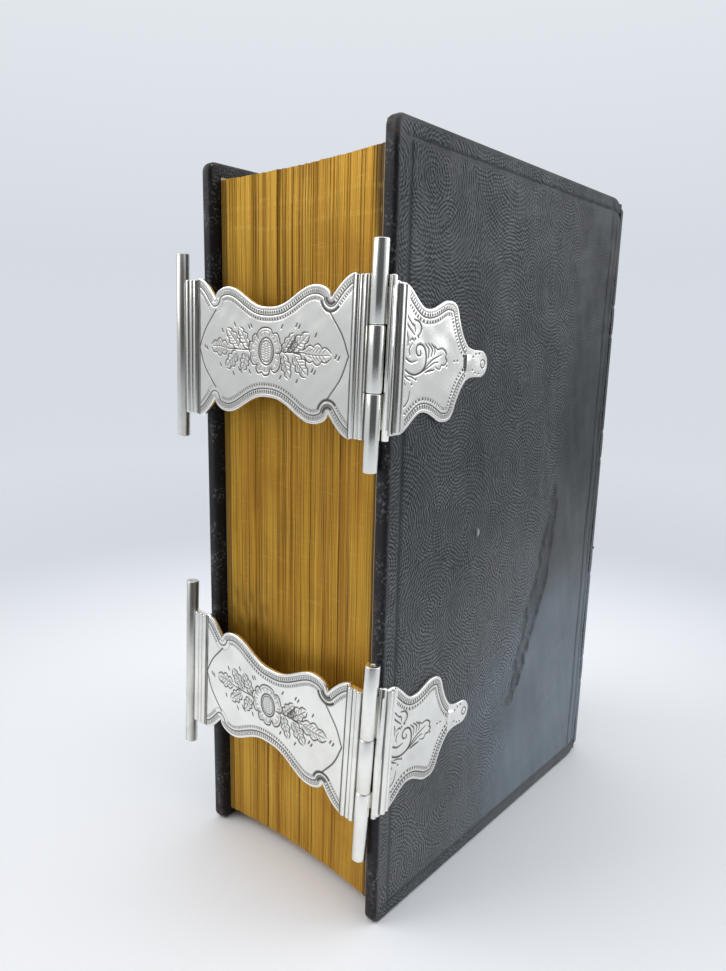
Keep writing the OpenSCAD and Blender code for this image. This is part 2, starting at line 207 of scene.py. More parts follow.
class Piece:
    """Gathers points and faces in millimetres, and makes one Blender mesh of them."""

    def __init__(self):
        self.points, self.faces, self.marks, self.count = [], [], {}, 0

    def add(self, points, faces, **marks):
        points = np.asarray(points, float).reshape(-1, 3)
        self.points.append(points)
        self.faces += [np.asarray(face, int) + self.count for face in faces]
        for name, values in marks.items():
            values = np.broadcast_to(np.asarray(values, float).ravel(), (len(points),))
            self.marks.setdefault(name, []).append((self.count, values))
        self.count += len(points)
        return self

    def sheet(self, points, wrap=False, flip=False, **marks):
        rows, cols = points.shape[:2]
        faces = grid_faces(rows, cols, wrap)
        return self.add(points, [faces[:, ::-1] if flip else faces], **marks)

    def make(self, name, material, body, *replaced, slot=None, smooth=60):
        points = (np.vstack(self.points) + ORIGIN) * MM
        blocks = [block.reshape(-1, block.shape[-1]) for block in self.faces]
        sizes = np.concatenate([np.full(len(block), block.shape[1]) for block in blocks])
        corners = np.concatenate([block.ravel() for block in blocks])
        mesh = bpy.data.meshes.new(name)
        mesh.vertices.add(len(points))
        mesh.vertices.foreach_set("co", points.ravel())
        mesh.loops.add(len(corners))
        mesh.loops.foreach_set("vertex_index", corners)
        mesh.polygons.add(len(sizes))
        mesh.polygons.foreach_set("loop_start", np.concatenate([[0], np.cumsum(sizes)[:-1]]))
        mesh.update(calc_edges=True)
        mesh.validate()
        for mark, blocks in self.marks.items():
            values = np.zeros(len(points), np.float32)
            for start, part in blocks:
                values[start : start + len(part)] = part
            mesh.attributes.new(mark, "FLOAT", "POINT").data.foreach_set("value", values)
        form = bmesh.new()
        form.from_mesh(mesh)
        bmesh.ops.remove_doubles(form, verts=form.verts, dist=WELD * MM)
        bmesh.ops.recalc_face_normals(form, faces=form.faces)
        form.to_mesh(mesh)
        form.free()
        mesh.polygons.foreach_set("use_smooth", np.ones(len(mesh.polygons), bool))
        mesh.set_sharp_from_angle(angle=math.radians(smooth))
        mesh.materials.append(material)
        piece = bpy.data.objects.new(name, mesh)
        bpy.context.scene.collection.objects.link(piece)
        if body:
            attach(piece, body)
        if replaced:
            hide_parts(*replaced)
        return piece


def thin_sheet(front, back, **marks):
    """A closed sheet: a dense front, a back of long strips, and a rim round them."""
    rows, cols = front.shape[:2]
    index = np.arange(rows * cols).reshape(rows, cols)
    rim = np.concatenate([index[0, :], index[1:-1, -1], index[-1, ::-1], index[-2:0:-1, 0]])
    under = np.arange(len(rim)) + rows * cols
    band = np.stack([np.roll(rim, -1), rim, under, np.roll(under, -1)], -1)
    third, fourth = cols + rows - 2, 2 * cols + rows - 2  # where the rim's last two sides start
    bottom, top = under[:cols], under[third:fourth][::-1]
    strips = np.stack([bottom[1:-2], bottom[2:-1], top[2:-1], top[1:-2]], -1)
    right = [*under[cols - 2 : third + 1], top[-2]]
    left = [*under[fourth - 2 :], *bottom[:2]]
    points = np.vstack([front.reshape(-1, 3), back.reshape(-1, 3)[rim]])
    values = {name: np.append(value, value.ravel()[rim]) for name, value in marks.items()}
    faces = [grid_faces(rows, cols), band, strips, np.array([right]), np.array([left])]
    return Piece().add(points, faces, **values)


def turned(piece, profile, place, segments=56, closed=True):
    """A shape turned round Z from (radius, z) pairs; a profile that isn't closed gets two end faces."""
    a = np.linspace(0, 2 * math.pi, segments, endpoint=False)
    around = np.stack([np.cos(a), np.sin(a), 1 + 0 * a], -1)
    rings = np.stack([around * [radius, radius, z] for radius, z in profile])
    rows = len(rings)
    if closed:
        blocks = [grid_faces(rows + 1, segments, wrap=True) % (rows * segments)]
    else:
        first = np.arange(segments)
        last = first + (rows - 1) * segments
        blocks = [grid_faces(rows, segments, wrap=True), first[None, ::-1], last[None, :]]
    return piece.add(place(rings), blocks)


def rounded_box(piece, low, high, radius, place):
    """A box with rounded edges, from three bands of rings."""
    low, high = np.array(low, float), np.array(high, float)
    radius = min(radius, 0.49 * (high - low).min())
    arc = np.array([radius * (1 - math.cos(math.radians(a))) for a in (0, 22, 45, 67, 90)])
    cuts = [np.concatenate([low[k] + arc, high[k] - arc[::-1]]) for k in range(3)]
    for axis in range(3):
        across, up = (axis + 1) % 3, (axis + 2) % 3
        for end, flip in ((low[axis], True), (high[axis], False)):
            sheet = np.zeros((len(cuts[up]), len(cuts[across]), 3))
            sheet[..., axis] = end
            sheet[..., across] = cuts[across][None, :]
            sheet[..., up] = cuts[up][:, None]
            core = np.clip(sheet, low + radius, high - radius)
            way = sheet - core
            way /= np.maximum(np.linalg.norm(way, axis=-1, keepdims=True), 1e-9)
            piece.sheet(place(core + radius * way), flip=flip)


def hinge_place(clasp):
    """Places points of the hinge's frame: Z along the hinge, the strap along -X."""
    c, s = math.cos(clasp["lean"]), math.sin(clasp["lean"])
    turn = np.array([[c, 0, s], [0, 1, 0], [-s, 0, c]])
    return lambda p: np.asarray(p) @ turn.T + clasp["hinge"]


def plate_place(clasp, side):
    """Places points (out, s, t) of a plate that lies on a cover, s from its fore-edge and t up."""
    c, s = math.cos(math.radians(clasp["tilt"])), math.sin(math.radians(clasp["tilt"]))
    turn = np.array([[1, 0, 0], [0, c, s], [0, -s, c]])
    z = clasp["plate_z"] if side == REAR else clasp["catch_z"]
    mirror = np.array([side, 1, 1])
    return lambda p: (np.asarray(p) @ turn.T + [BOOK_T / 2 + 0.05, 0, z]) * mirror


# ---- materials ----


class Nodes:
    """Adds nodes to a tree; each method adds one and gives back its output socket."""

    def __init__(self, tree):
        self.tree = tree

    def node(self, kind, output, inputs, **settings):
        node = self.tree.nodes.new(kind)
        for name, value in settings.items():
            setattr(node, name, value)
        for name, value in inputs.items():
            socket = node.inputs[name]
            if isinstance(value, bpy.types.NodeSocket):
                self.tree.links.new(value, socket)
            elif value is not None:
                socket.default_value = value
        return node.outputs[output]

    def math(self, operation, a, b=0.0, c=0.0):
        return self.node("ShaderNodeMath", 0, {0: a, 1: b, 2: c}, operation=operation)

    def span(self, value, low, high, to_low=0.0, to_high=1.0):
        inputs = {"Value": value, "From Min": low, "From Max": high, "To Min": to_low, "To Max": to_high}
        return self.node("ShaderNodeMapRange", "Result", inputs, interpolation_type="SMOOTHSTEP")

    def mix(self, factor, a, b):
        """Colours a to b by factor."""
        a, b = ((*color, 1) if isinstance(color, tuple) else color for color in (a, b))
        return self.node("ShaderNodeMix", 2, {0: factor, 6: a, 7: b}, data_type="RGBA")


class Material(Nodes):
    """A procedural material, in the book's own coordinates."""

    def __init__(self, name, color, roughness, **constants):
        self.material = bpy.data.materials.new(name)
        self.material.use_nodes = True
        self.material.diffuse_color = (*color, 1)
        super().__init__(self.material.node_tree)
        self.shader = self.tree.nodes["Principled BSDF"]
        self.shader.inputs["Base Color"].default_value = (*color, 1)
        self.shader.inputs["Roughness"].default_value = roughness
        for socket, value in constants.items():
            self.shader.inputs[socket.replace("_", " ")].default_value = value
        self.place = self.tree.nodes.new("ShaderNodeTexCoord").outputs["Object"]

    def attribute(self, name):
        return self.node("ShaderNodeAttribute", "Fac", {}, attribute_name=name)

    def stretched(self, scale, offset=(0, 0, 0)):
        """Object coordinates times a scale for each axis."""
        inputs = {"Vector": self.place, "Scale": scale, "Location": offset}
        return self.node("ShaderNodeMapping", "Vector", inputs)

    def noise(self, pitch, detail=3, vector=None, roughness=0.55):
        inputs = {"Vector": vector or self.place, "Scale": 1 / (pitch * MM), "Detail": detail}
        return self.node("ShaderNodeTexNoise", "Fac", inputs | {"Roughness": roughness})

    def cells(self, pitch, vector=None, dimensions="3D"):
        inputs = {"Vector": vector or self.place, "Scale": 1 / (pitch * MM)}
        return self.node("ShaderNodeTexVoronoi", "Distance", inputs, voronoi_dimensions=dimensions)

    def bump(self, height, distance, normal=None):
        inputs = {"Height": height, "Distance": distance * MM, "Strength": 1.0, "Normal": normal}
        return self.node("ShaderNodeBump", "Normal", inputs)

    def finish(self, **sockets):
        for name, value in sockets.items():
            self.tree.links.new(value, self.shader.inputs[name.replace("_", " ")])
        return self.material


def leather():
    """Black chagrin: beads in crossing swirls, grey on top and painted near-black as shade in the hollows,
    with a painted bluish sheen, painted shade on the edges, and red-brown where it is rubbed.
    """
    m = Material("black_chagrin_leather", (0.03, 0.032, 0.035), 0.45, Specular_IOR_Level=0.3)
    wear, scuff, tool, worn = (m.attribute(name) for name in ("wear", "scuff", "tool", "worn"))
    painted_edge_shade = m.attribute("painted_edge_shade")
    peeled = {"X": m.attribute("grain_u"), "Y": m.attribute("grain_v")}
    peeled = m.node("ShaderNodeCombineXYZ", "Vector", peeled)
    moved = m.node("ShaderNodeVectorMath", "Vector", {0: peeled, 1: (0.71, 0.37, 0)}, operation="ADD")

    def swirls(place, spacing, pitch, wander):
        """Waves round scattered centres, in the leather's own flat coordinates."""
        jitter = m.math("MULTIPLY", m.noise(2.6, 1, place), wander)
        turns = spacing / pitch * 2 * math.pi
        return m.math("SINE", m.math("MULTIPLY_ADD", m.cells(spacing, place, "2D"), turns, jitter))

    crisp = m.span(m.noise(6.5, 2), 0.36, 0.6, 0.55, 1.0)
    speck = m.math("MULTIPLY_ADD", m.noise(0.6, 1), 1.6, -0.8)
    grain = m.math("MULTIPLY_ADD", swirls(peeled, 17, 0.80, 7.0), 0.62, speck)
    grain = m.math("MULTIPLY_ADD", swirls(moved, 23, 0.98, 9.0), 0.55, grain)
    grain = m.math("MULTIPLY", grain, crisp)
    flat = m.math("MAXIMUM", m.math("MULTIPLY", tool, 0.85), m.math("MULTIPLY", scuff, 0.8))
    flat = m.math("MAXIMUM", flat, worn)
    grain = m.math("MULTIPLY", grain, m.math("SUBTRACT", 1.0, flat))
    cloud = m.span(m.noise(30, 4), 0.35, 0.7)
    # the grain's hollows are painted near-black as shade, its ridges grey
    valley = m.mix(cloud, (0.0045, 0.0055, 0.0062), (0.008, 0.0095, 0.0105))
    ridge = m.mix(cloud, (0.108, 0.122, 0.128), (0.150, 0.167, 0.174))
    color = m.mix(m.span(grain, -0.62, 1.12), valley, ridge)
    even = m.mix(cloud, (0.0145, 0.0190, 0.0205), (0.0210, 0.0262, 0.0285))
    color = m.mix(m.math("MULTIPLY", flat, 0.85), color, even)
    # painted sheen: a pale bluish sheen, brightest on the grain's ridges
    painted_sheen = m.attribute("painted_sheen")
    lit = m.math("MAXIMUM", m.span(grain, -0.9, 1.2, 0.22, 1.25), flat)
    pale = m.mix(m.span(painted_sheen, 0.3, 0.7), (0.262, 0.268, 0.271), (0.242, 0.293, 0.334))
    color = m.mix(m.math("MULTIPLY", painted_sheen, lit), color, pale)
    color = m.mix(m.math("MULTIPLY", scuff, 0.9), color, (0.013, 0.0125, 0.0135))
    # painted shade: the cover's fore-edge and its turned-in border are darkened to near black
    color = m.mix(painted_edge_shade, color, (0.0085, 0.0085, 0.0105))
    scratch = m.math("MULTIPLY", m.span(m.noise(0.7, 3), 0.50, 0.68), m.span(m.noise(6, 3), 0.42, 0.62))
    scratch = m.math("MULTIPLY", m.math("MULTIPLY", painted_edge_shade, scratch), 0.6)
    color = m.mix(scratch, color, (0.20, 0.205, 0.22))
    rub = m.math("MULTIPLY", wear, m.span(m.noise(2.4, 5), 0.40, 0.62))
    color = m.mix(rub, color, (0.105, 0.060, 0.052))
    color = m.mix(m.attribute("chip"), color, (0.52, 0.53, 0.54))
    roughness = m.span(m.noise(9, 4), 0.3, 0.75, 0.42, 0.57)
    roughness = m.math("MULTIPLY_ADD", wear, 0.14, roughness)
    fine = m.bump(m.noise(0.35, 2), 0.012)
    return m.finish(Base_Color=color, Roughness=roughness, Normal=m.bump(grain, 0.07, fine))


def gilt():
    """Old gilding on leaf edges: hair-fine lines of leaves, browned where it has worn, with painted shade
    between leaves and by the rear cover.
    """
    m = Material("gilt_leaf_edges", (0.42, 0.235, 0.028), 0.42, Metallic=0.55, Specular_IOR_Level=0.3)
    fine = m.noise(1, 3, m.stretched((6.0, 0.020, 0.020)), roughness=0.65)
    lines = m.noise(1, 2, m.stretched((3.6, 0.009, 0.009), (3.1, 0.7, 0.4)), roughness=0.6)
    hairs = m.noise(1, 1, m.stretched((5.1, 0.013, 0.013), (1.7, 0.2, 0.9)))
    band = m.noise(1, 3, m.stretched((0.30, 0.012, 0.012)))
    patch = m.noise(24, 5)
    marks = m.noise(1, 2, m.stretched((0.16, 0.6, 2.4)))
    color = m.mix(m.span(fine, 0.3, 0.7), (0.375, 0.176, 0.0170), (0.71, 0.395, 0.040))
    layers = (
        # field, where it starts and ends to show, how much it shows, and its colour
        (band, 0.45, 0.68, 0.4, (0.74, 0.455, 0.056)),
        (band, 0.50, 0.32, 0.4, (0.40, 0.170, 0.018)),
        (hairs, 0.60, 0.68, 0.6, (0.80, 0.52, 0.11)),
        (lines, 0.56, 0.66, 0.85, (0.120, 0.043, 0.006)),
        (patch, 0.50, 0.74, 0.5, (0.37, 0.158, 0.018)),
        (marks, 0.60, 0.72, 0.22, (0.80, 0.54, 0.12)),
    )
    for field, low, high, most, shade in layers:
        color = m.mix(m.span(field, low, high, 0.0, most), color, shade)
    # painted shade in the gaps between leaves and by the rear cover, and one real brown stain
    color = m.mix(m.attribute("tone"), color, (0.034, 0.0145, 0.004))
    color = m.mix(m.math("MULTIPLY", m.attribute("crease"), 0.2), color, (0.86, 0.60, 0.17))
    page = m.attribute("page")
    color = m.mix(page, color, m.mix(m.noise(0.8, 3), (0.69, 0.60, 0.44), (0.77, 0.69, 0.54)))
    height = m.math("MULTIPLY_ADD", lines, -1.2, fine)
    roughness = m.math("MULTIPLY_ADD", page, 0.35, m.span(patch, 0.3, 0.7, 0.38, 0.55))
    metal = m.math("MULTIPLY_ADD", page, -0.55, 0.55)
    normal = m.bump(height, 0.06)
    return m.finish(Base_Color=color, Roughness=roughness, Metallic=metal, Normal=normal)


def silver():
    """Polished silver with fine rubbing marks; engraved cuts hold dark tarnish, and the closing rods a
    painted dark reflection.
    """
    m = Material("engraved_silver", (0.86, 0.86, 0.84), 0.2, Metallic=1.0)
    cut = m.attribute("cut")
    haze = m.noise(7, 4)
    color = m.mix(m.span(haze, 0.35, 0.75), (0.93, 0.925, 0.878), (0.84, 0.832, 0.786))
    # darkens engraved cuts with tarnish; on the closing rods the same mark is a painted dark reflection
    color = m.mix(cut, color, (0.105, 0.098, 0.088))
    rubs = m.noise(1, 3, m.stretched((0.5, 0.5, 4.0)))
    roughness = m.math("MULTIPLY_ADD", cut, 0.3, m.span(haze, 0.3, 0.75, 0.15, 0.27))
    height = m.math("MULTIPLY_ADD", rubs, 0.15, m.noise(2.2, 3))
    return m.finish(Base_Color=color, Roughness=roughness, Normal=m.bump(height, 0.012))


def paper():
    """Aged cream paper with fibres and a little foxing; its cut rim is gilt."""
    m = Material("aged_paper", (0.74, 0.66, 0.5), 0.85)
    fibre = m.noise(1, 4, m.stretched((1.2, 1.6, 0.7)))
    color = m.mix(m.span(fibre, 0.3, 0.7), (0.70, 0.61, 0.45), (0.79, 0.72, 0.57))
    color = m.mix(m.span(m.noise(30, 3), 0.45, 0.75, 0.0, 0.5), color, (0.62, 0.50, 0.32))
    spots = m.span(m.cells(11), 0.07, 0.02)
    color = m.mix(m.math("MULTIPLY", spots, 0.55), color, (0.42, 0.25, 0.11))
    rim = m.attribute("gilt")
    color = m.mix(rim, color, (0.50, 0.27, 0.033))
    return m.finish(Base_Color=color, Normal=m.bump(fibre, 0.03))


def wound_silk():
    m = Material("wound_silk", (0.7, 0.6, 0.4), 0.55, Sheen_Weight=0.3)
    strand = m.noise(0.5, 3)
    light = m.mix(strand, (0.60, 0.52, 0.36), (0.76, 0.69, 0.52))
    dark = m.mix(strand, (0.16, 0.045, 0.03), (0.27, 0.085, 0.05))
    color = m.mix(m.attribute("dyed"), light, dark)
    return m.finish(Base_Color=color, Normal=m.bump(strand, 0.05))


def plain(name, low, high, pitch, roughness, depth):
    """A matt stuff with colour and bump from one noise, for boards, cord and lining."""
    m = Material(name, low, roughness)
    speck = m.noise(pitch, 5)
    return m.finish(Base_Color=m.mix(speck, low, high), Normal=m.bump(speck, depth))


LEATHER = leather()
GILT = gilt()
SILVER = silver()
PAPER = paper()
SILK = wound_silk()
BOARD = plain("pasteboard", (0.30, 0.25, 0.18), (0.46, 0.40, 0.30), 1.5, 0.9, 0.06)
CORD = plain("hemp_cord", (0.45, 0.36, 0.22), (0.62, 0.53, 0.36), 0.6, 0.9, 0.15)

# ---- text block, leaves and end bands ----


def fore_edge(x):
    """Y of the leaves' fore-edge, a shallow hollow from cover to cover."""
    return FORE_SQUARE + FORE_SAG * (1 - (x / COVER_IN) ** 2)


def arch(depth, angles, rise=0.0):
    """Points round the spine at some depth below its leather; rise may be one value or an array."""
    a = np.radians(angles)
    lift = rise * np.maximum(np.sin(a), 0) ** 2 - depth
    x = (BOOK_T / 2 + lift) * np.sign(np.cos(a)) * np.abs(np.cos(a)) ** (2 / SPINE_POWER)
    y = JOINT_Y - 0.2 + (SPINE_ROUND + lift) * np.maximum(np.sin(a), 0) ** (2 / SPINE_POWER)
    return x, y


def arch_y(x, depth):
    """Y of the spine's curve over x, at some depth below its leather."""
    span = np.abs(x) / (BOOK_T / 2 - depth)
    return JOINT_Y + (SPINE_ROUND - depth) * (1 - span**SPINE_POWER) ** (1 / SPINE_POWER)


def fore_edge_tone(x, z, out, rng):
    """How dark the gilding is: painted shade in the gaps between leaves and a painted shadow by the rear
    cover, and brown at one stain.
    """
    tone = np.clip(-out * 3.4 - 0.30, 0, 0.6) * rng.uniform(0.4, 1, x.shape[1])
    # a painted shadow of the rear cover, wider towards the head
    shade_w = 1.3 + 2.6 * smoothstep(138, 174, z)
    tone = np.maximum(tone, 0.86 * smoothstep(BLOCK_HALF - shade_w, BLOCK_HALF - 0.3 * shade_w, x))
    stain = np.exp(-(((x - STAIN[0]) / 8) ** 2) - ((z - STAIN[1]) / 6.5) ** 2)
    stain *= 0.55 + 0.45 * wobble(np.stack([x, z * 0.6], -1), 3.2, 13)
    return np.clip(tone + 0.55 * stain, 0, 0.9)


def fore_edge_creases(x, z):
    """Two faint broken lines across the leaves, a little below the head."""
    crease = np.zeros(z.shape)
    for k, drop in enumerate((7.6, 12.4)):
        height = LEAF_Z[1] - drop + 0.5 * wobble(x[..., None], 26, 14 + k)
        broken = np.clip(0.45 + 0.7 * wobble(x[..., None], 1.7, 16 + k), 0, 1)
        crease = np.maximum(crease, np.exp(-(((z - height) / 0.45) ** 2)) * broken)
    return crease


def text_block():
    """Several hundred leaves, each column of points standing a little in or out of the next."""
    rng = np.random.default_rng(11)
    x = steps(-BLOCK_HALF, (BLOCK_HALF, 0.11))
    gathering = (x + BLOCK_HALF) / (2 * BLOCK_HALF) * GATHERINGS
    fold = np.abs(gathering - np.round(gathering)) * GATHERING_T
    stands = rng.normal(size=len(x)) * 0.025 + wobble(x[:, None], 1.9, 3) * 0.05
    stands -= 0.09 * np.exp(-((fold / 0.12) ** 2)) * rng.uniform(0.2, 1, len(x))
    deep = rng.random(len(x)) < 0.04
    stands = np.where(deep, stands - 0.12, stands)
    low, high = LEAF_Z
    back, front = arch_y(x, LINING_IN), fore_edge(x)
    side = 26  # rows of points on the tail, and on the head
    on_end = front + (back - front) * np.linspace(1, 0, side)[:, None]
    upward = steps(low, (high - 15, 2.6), (high - 6, 0.4), (high, 2.0))[1:-1]
    y = np.concatenate([on_end, np.broadcast_to(front, (len(upward), len(x))), on_end[::-1]])
    z = np.concatenate([np.full(side, low), upward, np.full(side, high)])[:, None] + 0 * y
    xs = x + 0 * y
    here = np.stack([xs, y * 0.15, z * 0.15], -1)
    drift = wobble(here, 2.4, 5) * 0.035 + wobble(here * [0.25, 1, 1], 3.0, 6) * 0.06
    out = stands + drift
    heights = wobble(np.round(gathering)[:, None] * 7.3, 9, 8) * 0.07
    row = np.arange(len(y))[:, None]
    on_tail, on_head = row < side, row >= len(y) - side
    on_fore = (row >= side - 1) & (row <= len(y) - side)
    y -= on_fore * out
    z += on_head * (out * 0.5 + heights) - on_tail * out * 0.5
    bend = wobble(np.stack([xs * 0.2, y * 0.06, z * 0.06], -1), 3.5, 9)
    xs = xs + bend * 0.12 * (1 - (x / BLOCK_HALF) ** 6)
    tone = fore_edge_tone(xs, z, out, rng)
    crease = fore_edge_creases(xs, z) * on_fore
    y -= 0.05 * crease
    rows, cols = y.shape
    index = np.arange(rows * cols).reshape(rows, cols)
    spine = np.stack([index[0, :-1], index[-1, :-1], index[-1, 1:], index[0, 1:]], -1)
    faces = [grid_faces(rows, cols)[:, ::-1], spine, index[:, 0][None, :], index[::-1, -1][None, :]]
    page = np.zeros((rows, cols))
    page[:, [0, -1]] = 1
    piece = Piece().add(np.stack([xs, y, z], -1), faces, tone=tone * (1 - page), page=page, crease=crease)
    piece.make("text_block", GILT, "book_block", "gatherings", slot="gilt_edges", smooth=35)


def turning_leaf(side, order, name):
    """A leaf with two slightly cockled faces and a gilt rim."""
    x = leaf_spot(order)
    y = steps(fore_edge(x), (fore_edge(x) + 1.5, 0.5), (COVER_D - 5.6, 2.7))
    z = steps(LEAF_Z[0], (LEAF_Z[0] + 1.5, 0.5), (LEAF_Z[1] - 1.5, 3.0), (LEAF_Z[1], 0.5))
    z2, y2 = np.meshgrid(z, y, indexing="ij")
    cockle = wobble(np.stack([y2, z2], -1), 42, 20 + order) * 0.05
    inside = np.minimum(y2 - y[0], np.minimum(z2 - z[0], z[-1] - z2))
    bled = smoothstep(1.4, 0.5, inside)
    piece = Piece()
    faces = []
    for half in (-0.5, 0.5):
        points = np.stack([x + cockle + half * LEAF_T, y2, z2], -1)
        faces.append(points)
        piece.sheet(points * [side, 1, 1], flip=(half * side < 0), gilt=bled)
    loops = [np.concatenate([f[0, :], f[1:, -1], f[-1, -2::-1], f[-2:0:-1, 0]]) for f in faces]
    piece.sheet(np.stack(loops) * [side, 1, 1], wrap=True, flip=side > 0, gilt=1.0)
    piece.make(name, PAPER, f"{name}_sheet", name, slot="endpaper", smooth=40)


def leaf_spot(order):
    """X of a turning leaf beside the rear cover: 0 is the outermost of three."""
    first, last = (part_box(LEAVES[REAR][k]) for k in (0, 2))
    outer, inner = ((box[0].x + box[1].x) / 2 / MM - ORIGIN[0] for box in (first, last))
    return outer + (inner - outer) * order / 2


def end_band(name, z):
    """A cord on the spine's curve, wound with silk in two colours."""
    x = np.linspace(-BLOCK_HALF + 0.4, BLOCK_HALF - 0.4, 640)
    y = arch_y(x, ENDBAND_DEPTH)
    length = np.concatenate([[0], np.cumsum(np.hypot(np.diff(x), np.diff(y)))])
    around = np.linspace(0, 2 * math.pi, 28, endpoint=False)
    strand = length[:, None] / 0.62 + around[None, :] / (2 * math.pi)
    radius = 0.80 + 0.10 * np.abs(np.sin(math.pi * strand))
    heading = np.stack([np.gradient(x, length), np.gradient(y, length)], -1)
    outward = np.stack([heading[:, 1], -heading[:, 0]], -1)
    ring = radius * np.cos(around)
    across = [x[:, None] + outward[:, :1] * ring, y[:, None] + outward[:, 1:] * ring]
    points = np.stack([*across, z + radius * np.sin(around) + 0 * ring], -1)
    dyed = (np.floor(strand / 4) % 2).astype(float)
    rows, cols = points.shape[:2]
    ends = [np.arange(cols)[None, :], (rows - 1) * cols + np.arange(cols)[None, ::-1]]
    piece = Piece().add(points, [grid_faces(rows, cols, wrap=True)[:, ::-1], *ends], dyed=dyed)
    piece.make(f"{name}_silk", SILK, "book_block", name, slot="endpaper")


# ---- covers and spine ----

TOOL_W = 0.62
FILLET = 5.0
OUTER_FILLETS = (103.0, 106.2)
HEAD_FILLET = 4.0
SCUFF_LINE = ((79.6, 96.0), (77.5, 84.0), (75.0, 73.0), (69.1, 58.9), (60.2, 36.9))
CHIP = (37.3, 90.9)
WORN_FROM = ((0, 50), (37, 60), (59, 69), (84, 77), (96, 80), (180, 84))  # Z, and the Y of smooth leather


def free_edge(y, z):
    """Distance in from a cover's fore-edge, head or tail, with its two rounded corners."""
    up = np.minimum(z, BOOK_H - z)
    corner = CORNER_R - np.hypot(CORNER_R - y, CORNER_R - up)
    return np.where((y < CORNER_R) & (up < CORNER_R), corner, np.minimum(y, up))


def round_corners(y, z):
    """Moves the grid's square corners at the fore-edge onto round ones."""
    up = np.minimum(z, BOOK_H - z)
    a, b = np.clip(1 - y / CORNER_R, 0, 1), np.clip(1 - up / CORNER_R, 0, 1)
    new_y = np.where(a * b > 0, CORNER_R * (1 - a * np.sqrt(1 - b**2 / 2)), y)
    new_up = np.where(a * b > 0, CORNER_R * (1 - b * np.sqrt(1 - a**2 / 2)), up)
    return new_y, np.where(z > BOOK_H / 2, BOOK_H - new_up, new_up)


def tooling(y, z):
    """Blind-tooled lines round a cover, from 0 to 1 at the middle of a line."""
    lines = [np.abs(y - FILLET)]
    lines += [np.abs(y - fillet) + 0.25 * k for k, fillet in enumerate(OUTER_FILLETS)]
    lines += [np.abs(z - HEAD_FILLET), np.abs(BOOK_H - z - HEAD_FILLET)]
    return np.max([np.exp(-((line / TOOL_W) ** 2)) for line in lines], axis=0)


def scuffing(y, z):
    """A long rubbed scar: two ragged dark edges with a flattened strip between them."""
    line = spline(SCUFF_LINE, 0.8)
    gap = np.hypot(y[..., None] - line[:, 0], z[..., None] - line[:, 1])
    nearest = gap.argmin(-1)
    distance = gap.min(-1)
    here = np.stack([y, z], -1)
    width = 3.1 * np.sin(np.pi * (0.08 + 0.84 * nearest / len(line))) + 0.7 * wobble(here, 6, 31)
    ragged = np.exp(-(((distance - width) / 0.9) ** 2)) * (0.75 + 0.35 * wobble(here, 3.2, 32))
    inside = smoothstep(width, width - 1.2, distance) * 0.35
    return np.clip(1.2 * ragged + inside, 0, 1), inside


def peel(x, y, z, under):
    """Where leather on a cover would lie if it were peeled off flat, in metres."""
    up = np.minimum(z, BOOK_H - z)
    at_fore = y < up
    fold = np.maximum(BOOK_T / 2 - x, 0) + under * 2 * np.minimum(y, up)
    u = y - fold * at_fore
    v = z + fold * ~at_fore * np.where(z > BOOK_H / 2, 1, -1)
    return u * MM, v * MM


def painted_sheen_at(y, z, side):
    """How much painted sheen a cover's leather gets at (y, z): most low down by the rear joint."""
    painted_sheen = 0.46 * smoothstep(112, 40, z) * smoothstep(15, 70, y) + 0.36 * smoothstep(125, 30, z)
    painted_sheen = painted_sheen * (1 + 0.12 * wobble(np.stack([y, z], -1), 26, 60 + side, 14))
    return painted_sheen * (1.0 if side == REAR else 0.3)


def shell(points, faces, inner, marks):
    """Closes a skin with an inner layer of the same points, moved, and a rim round each opening."""
    edges = np.concatenate([faces[:, [k, (k + 1) % 4]] for k in range(4)])
    _, where, count = np.unique(np.sort(edges, 1), axis=0, return_index=True, return_counts=True)
    rim = edges[where[count == 1]]
    total = len(points)
    band = np.stack([rim[:, 1], rim[:, 0], rim[:, 0] + total, rim[:, 1] + total], -1)
    blocks = [faces, faces[:, ::-1] + total, band]
    marks = {name: np.broadcast_to(np.ravel(values), (total,)) for name, values in marks.items()}
    doubled = {name: np.tile(values, 2) for name, values in marks.items()}
    return Piece().add(np.vstack([points, inner]), blocks, **doubled)


def cover_grid():
    """A cover's points (y, z) as rows of Y, close together along its edges and tooled lines."""
    y = steps(0, (0.3, 0.1), (1.2, 0.18), (3.6, 0.5), (6.4, 0.2), (12, 0.8), (36, 0.85), (38.6, 0.26))
    y = np.concatenate([y, steps(38.6, (101.4, 0.85), (107.2, 0.22), (COVER_D, 0.3))[1:]])
    low = steps(0, (0.3, 0.1), (1.2, 0.18), (2.6, 0.45), (5.4, 0.2), (12, 0.8), (89.4, 0.9))
    middle = steps(89.4, (92.4, 0.3), (BOOK_H - 12, 0.9))
    z = np.concatenate([low, middle[1:], (BOOK_H - low[low < 12])[::-1]])
    return np.meshgrid(y, z)


def blob(y, z, place, half_y, half_z):
    """1 inside an oval spot, and 0 outside it, with a soft edge."""
    return np.exp(-((((y - place[0]) / half_y) ** 2 + ((z - place[1]) / half_z) ** 2) ** 2))


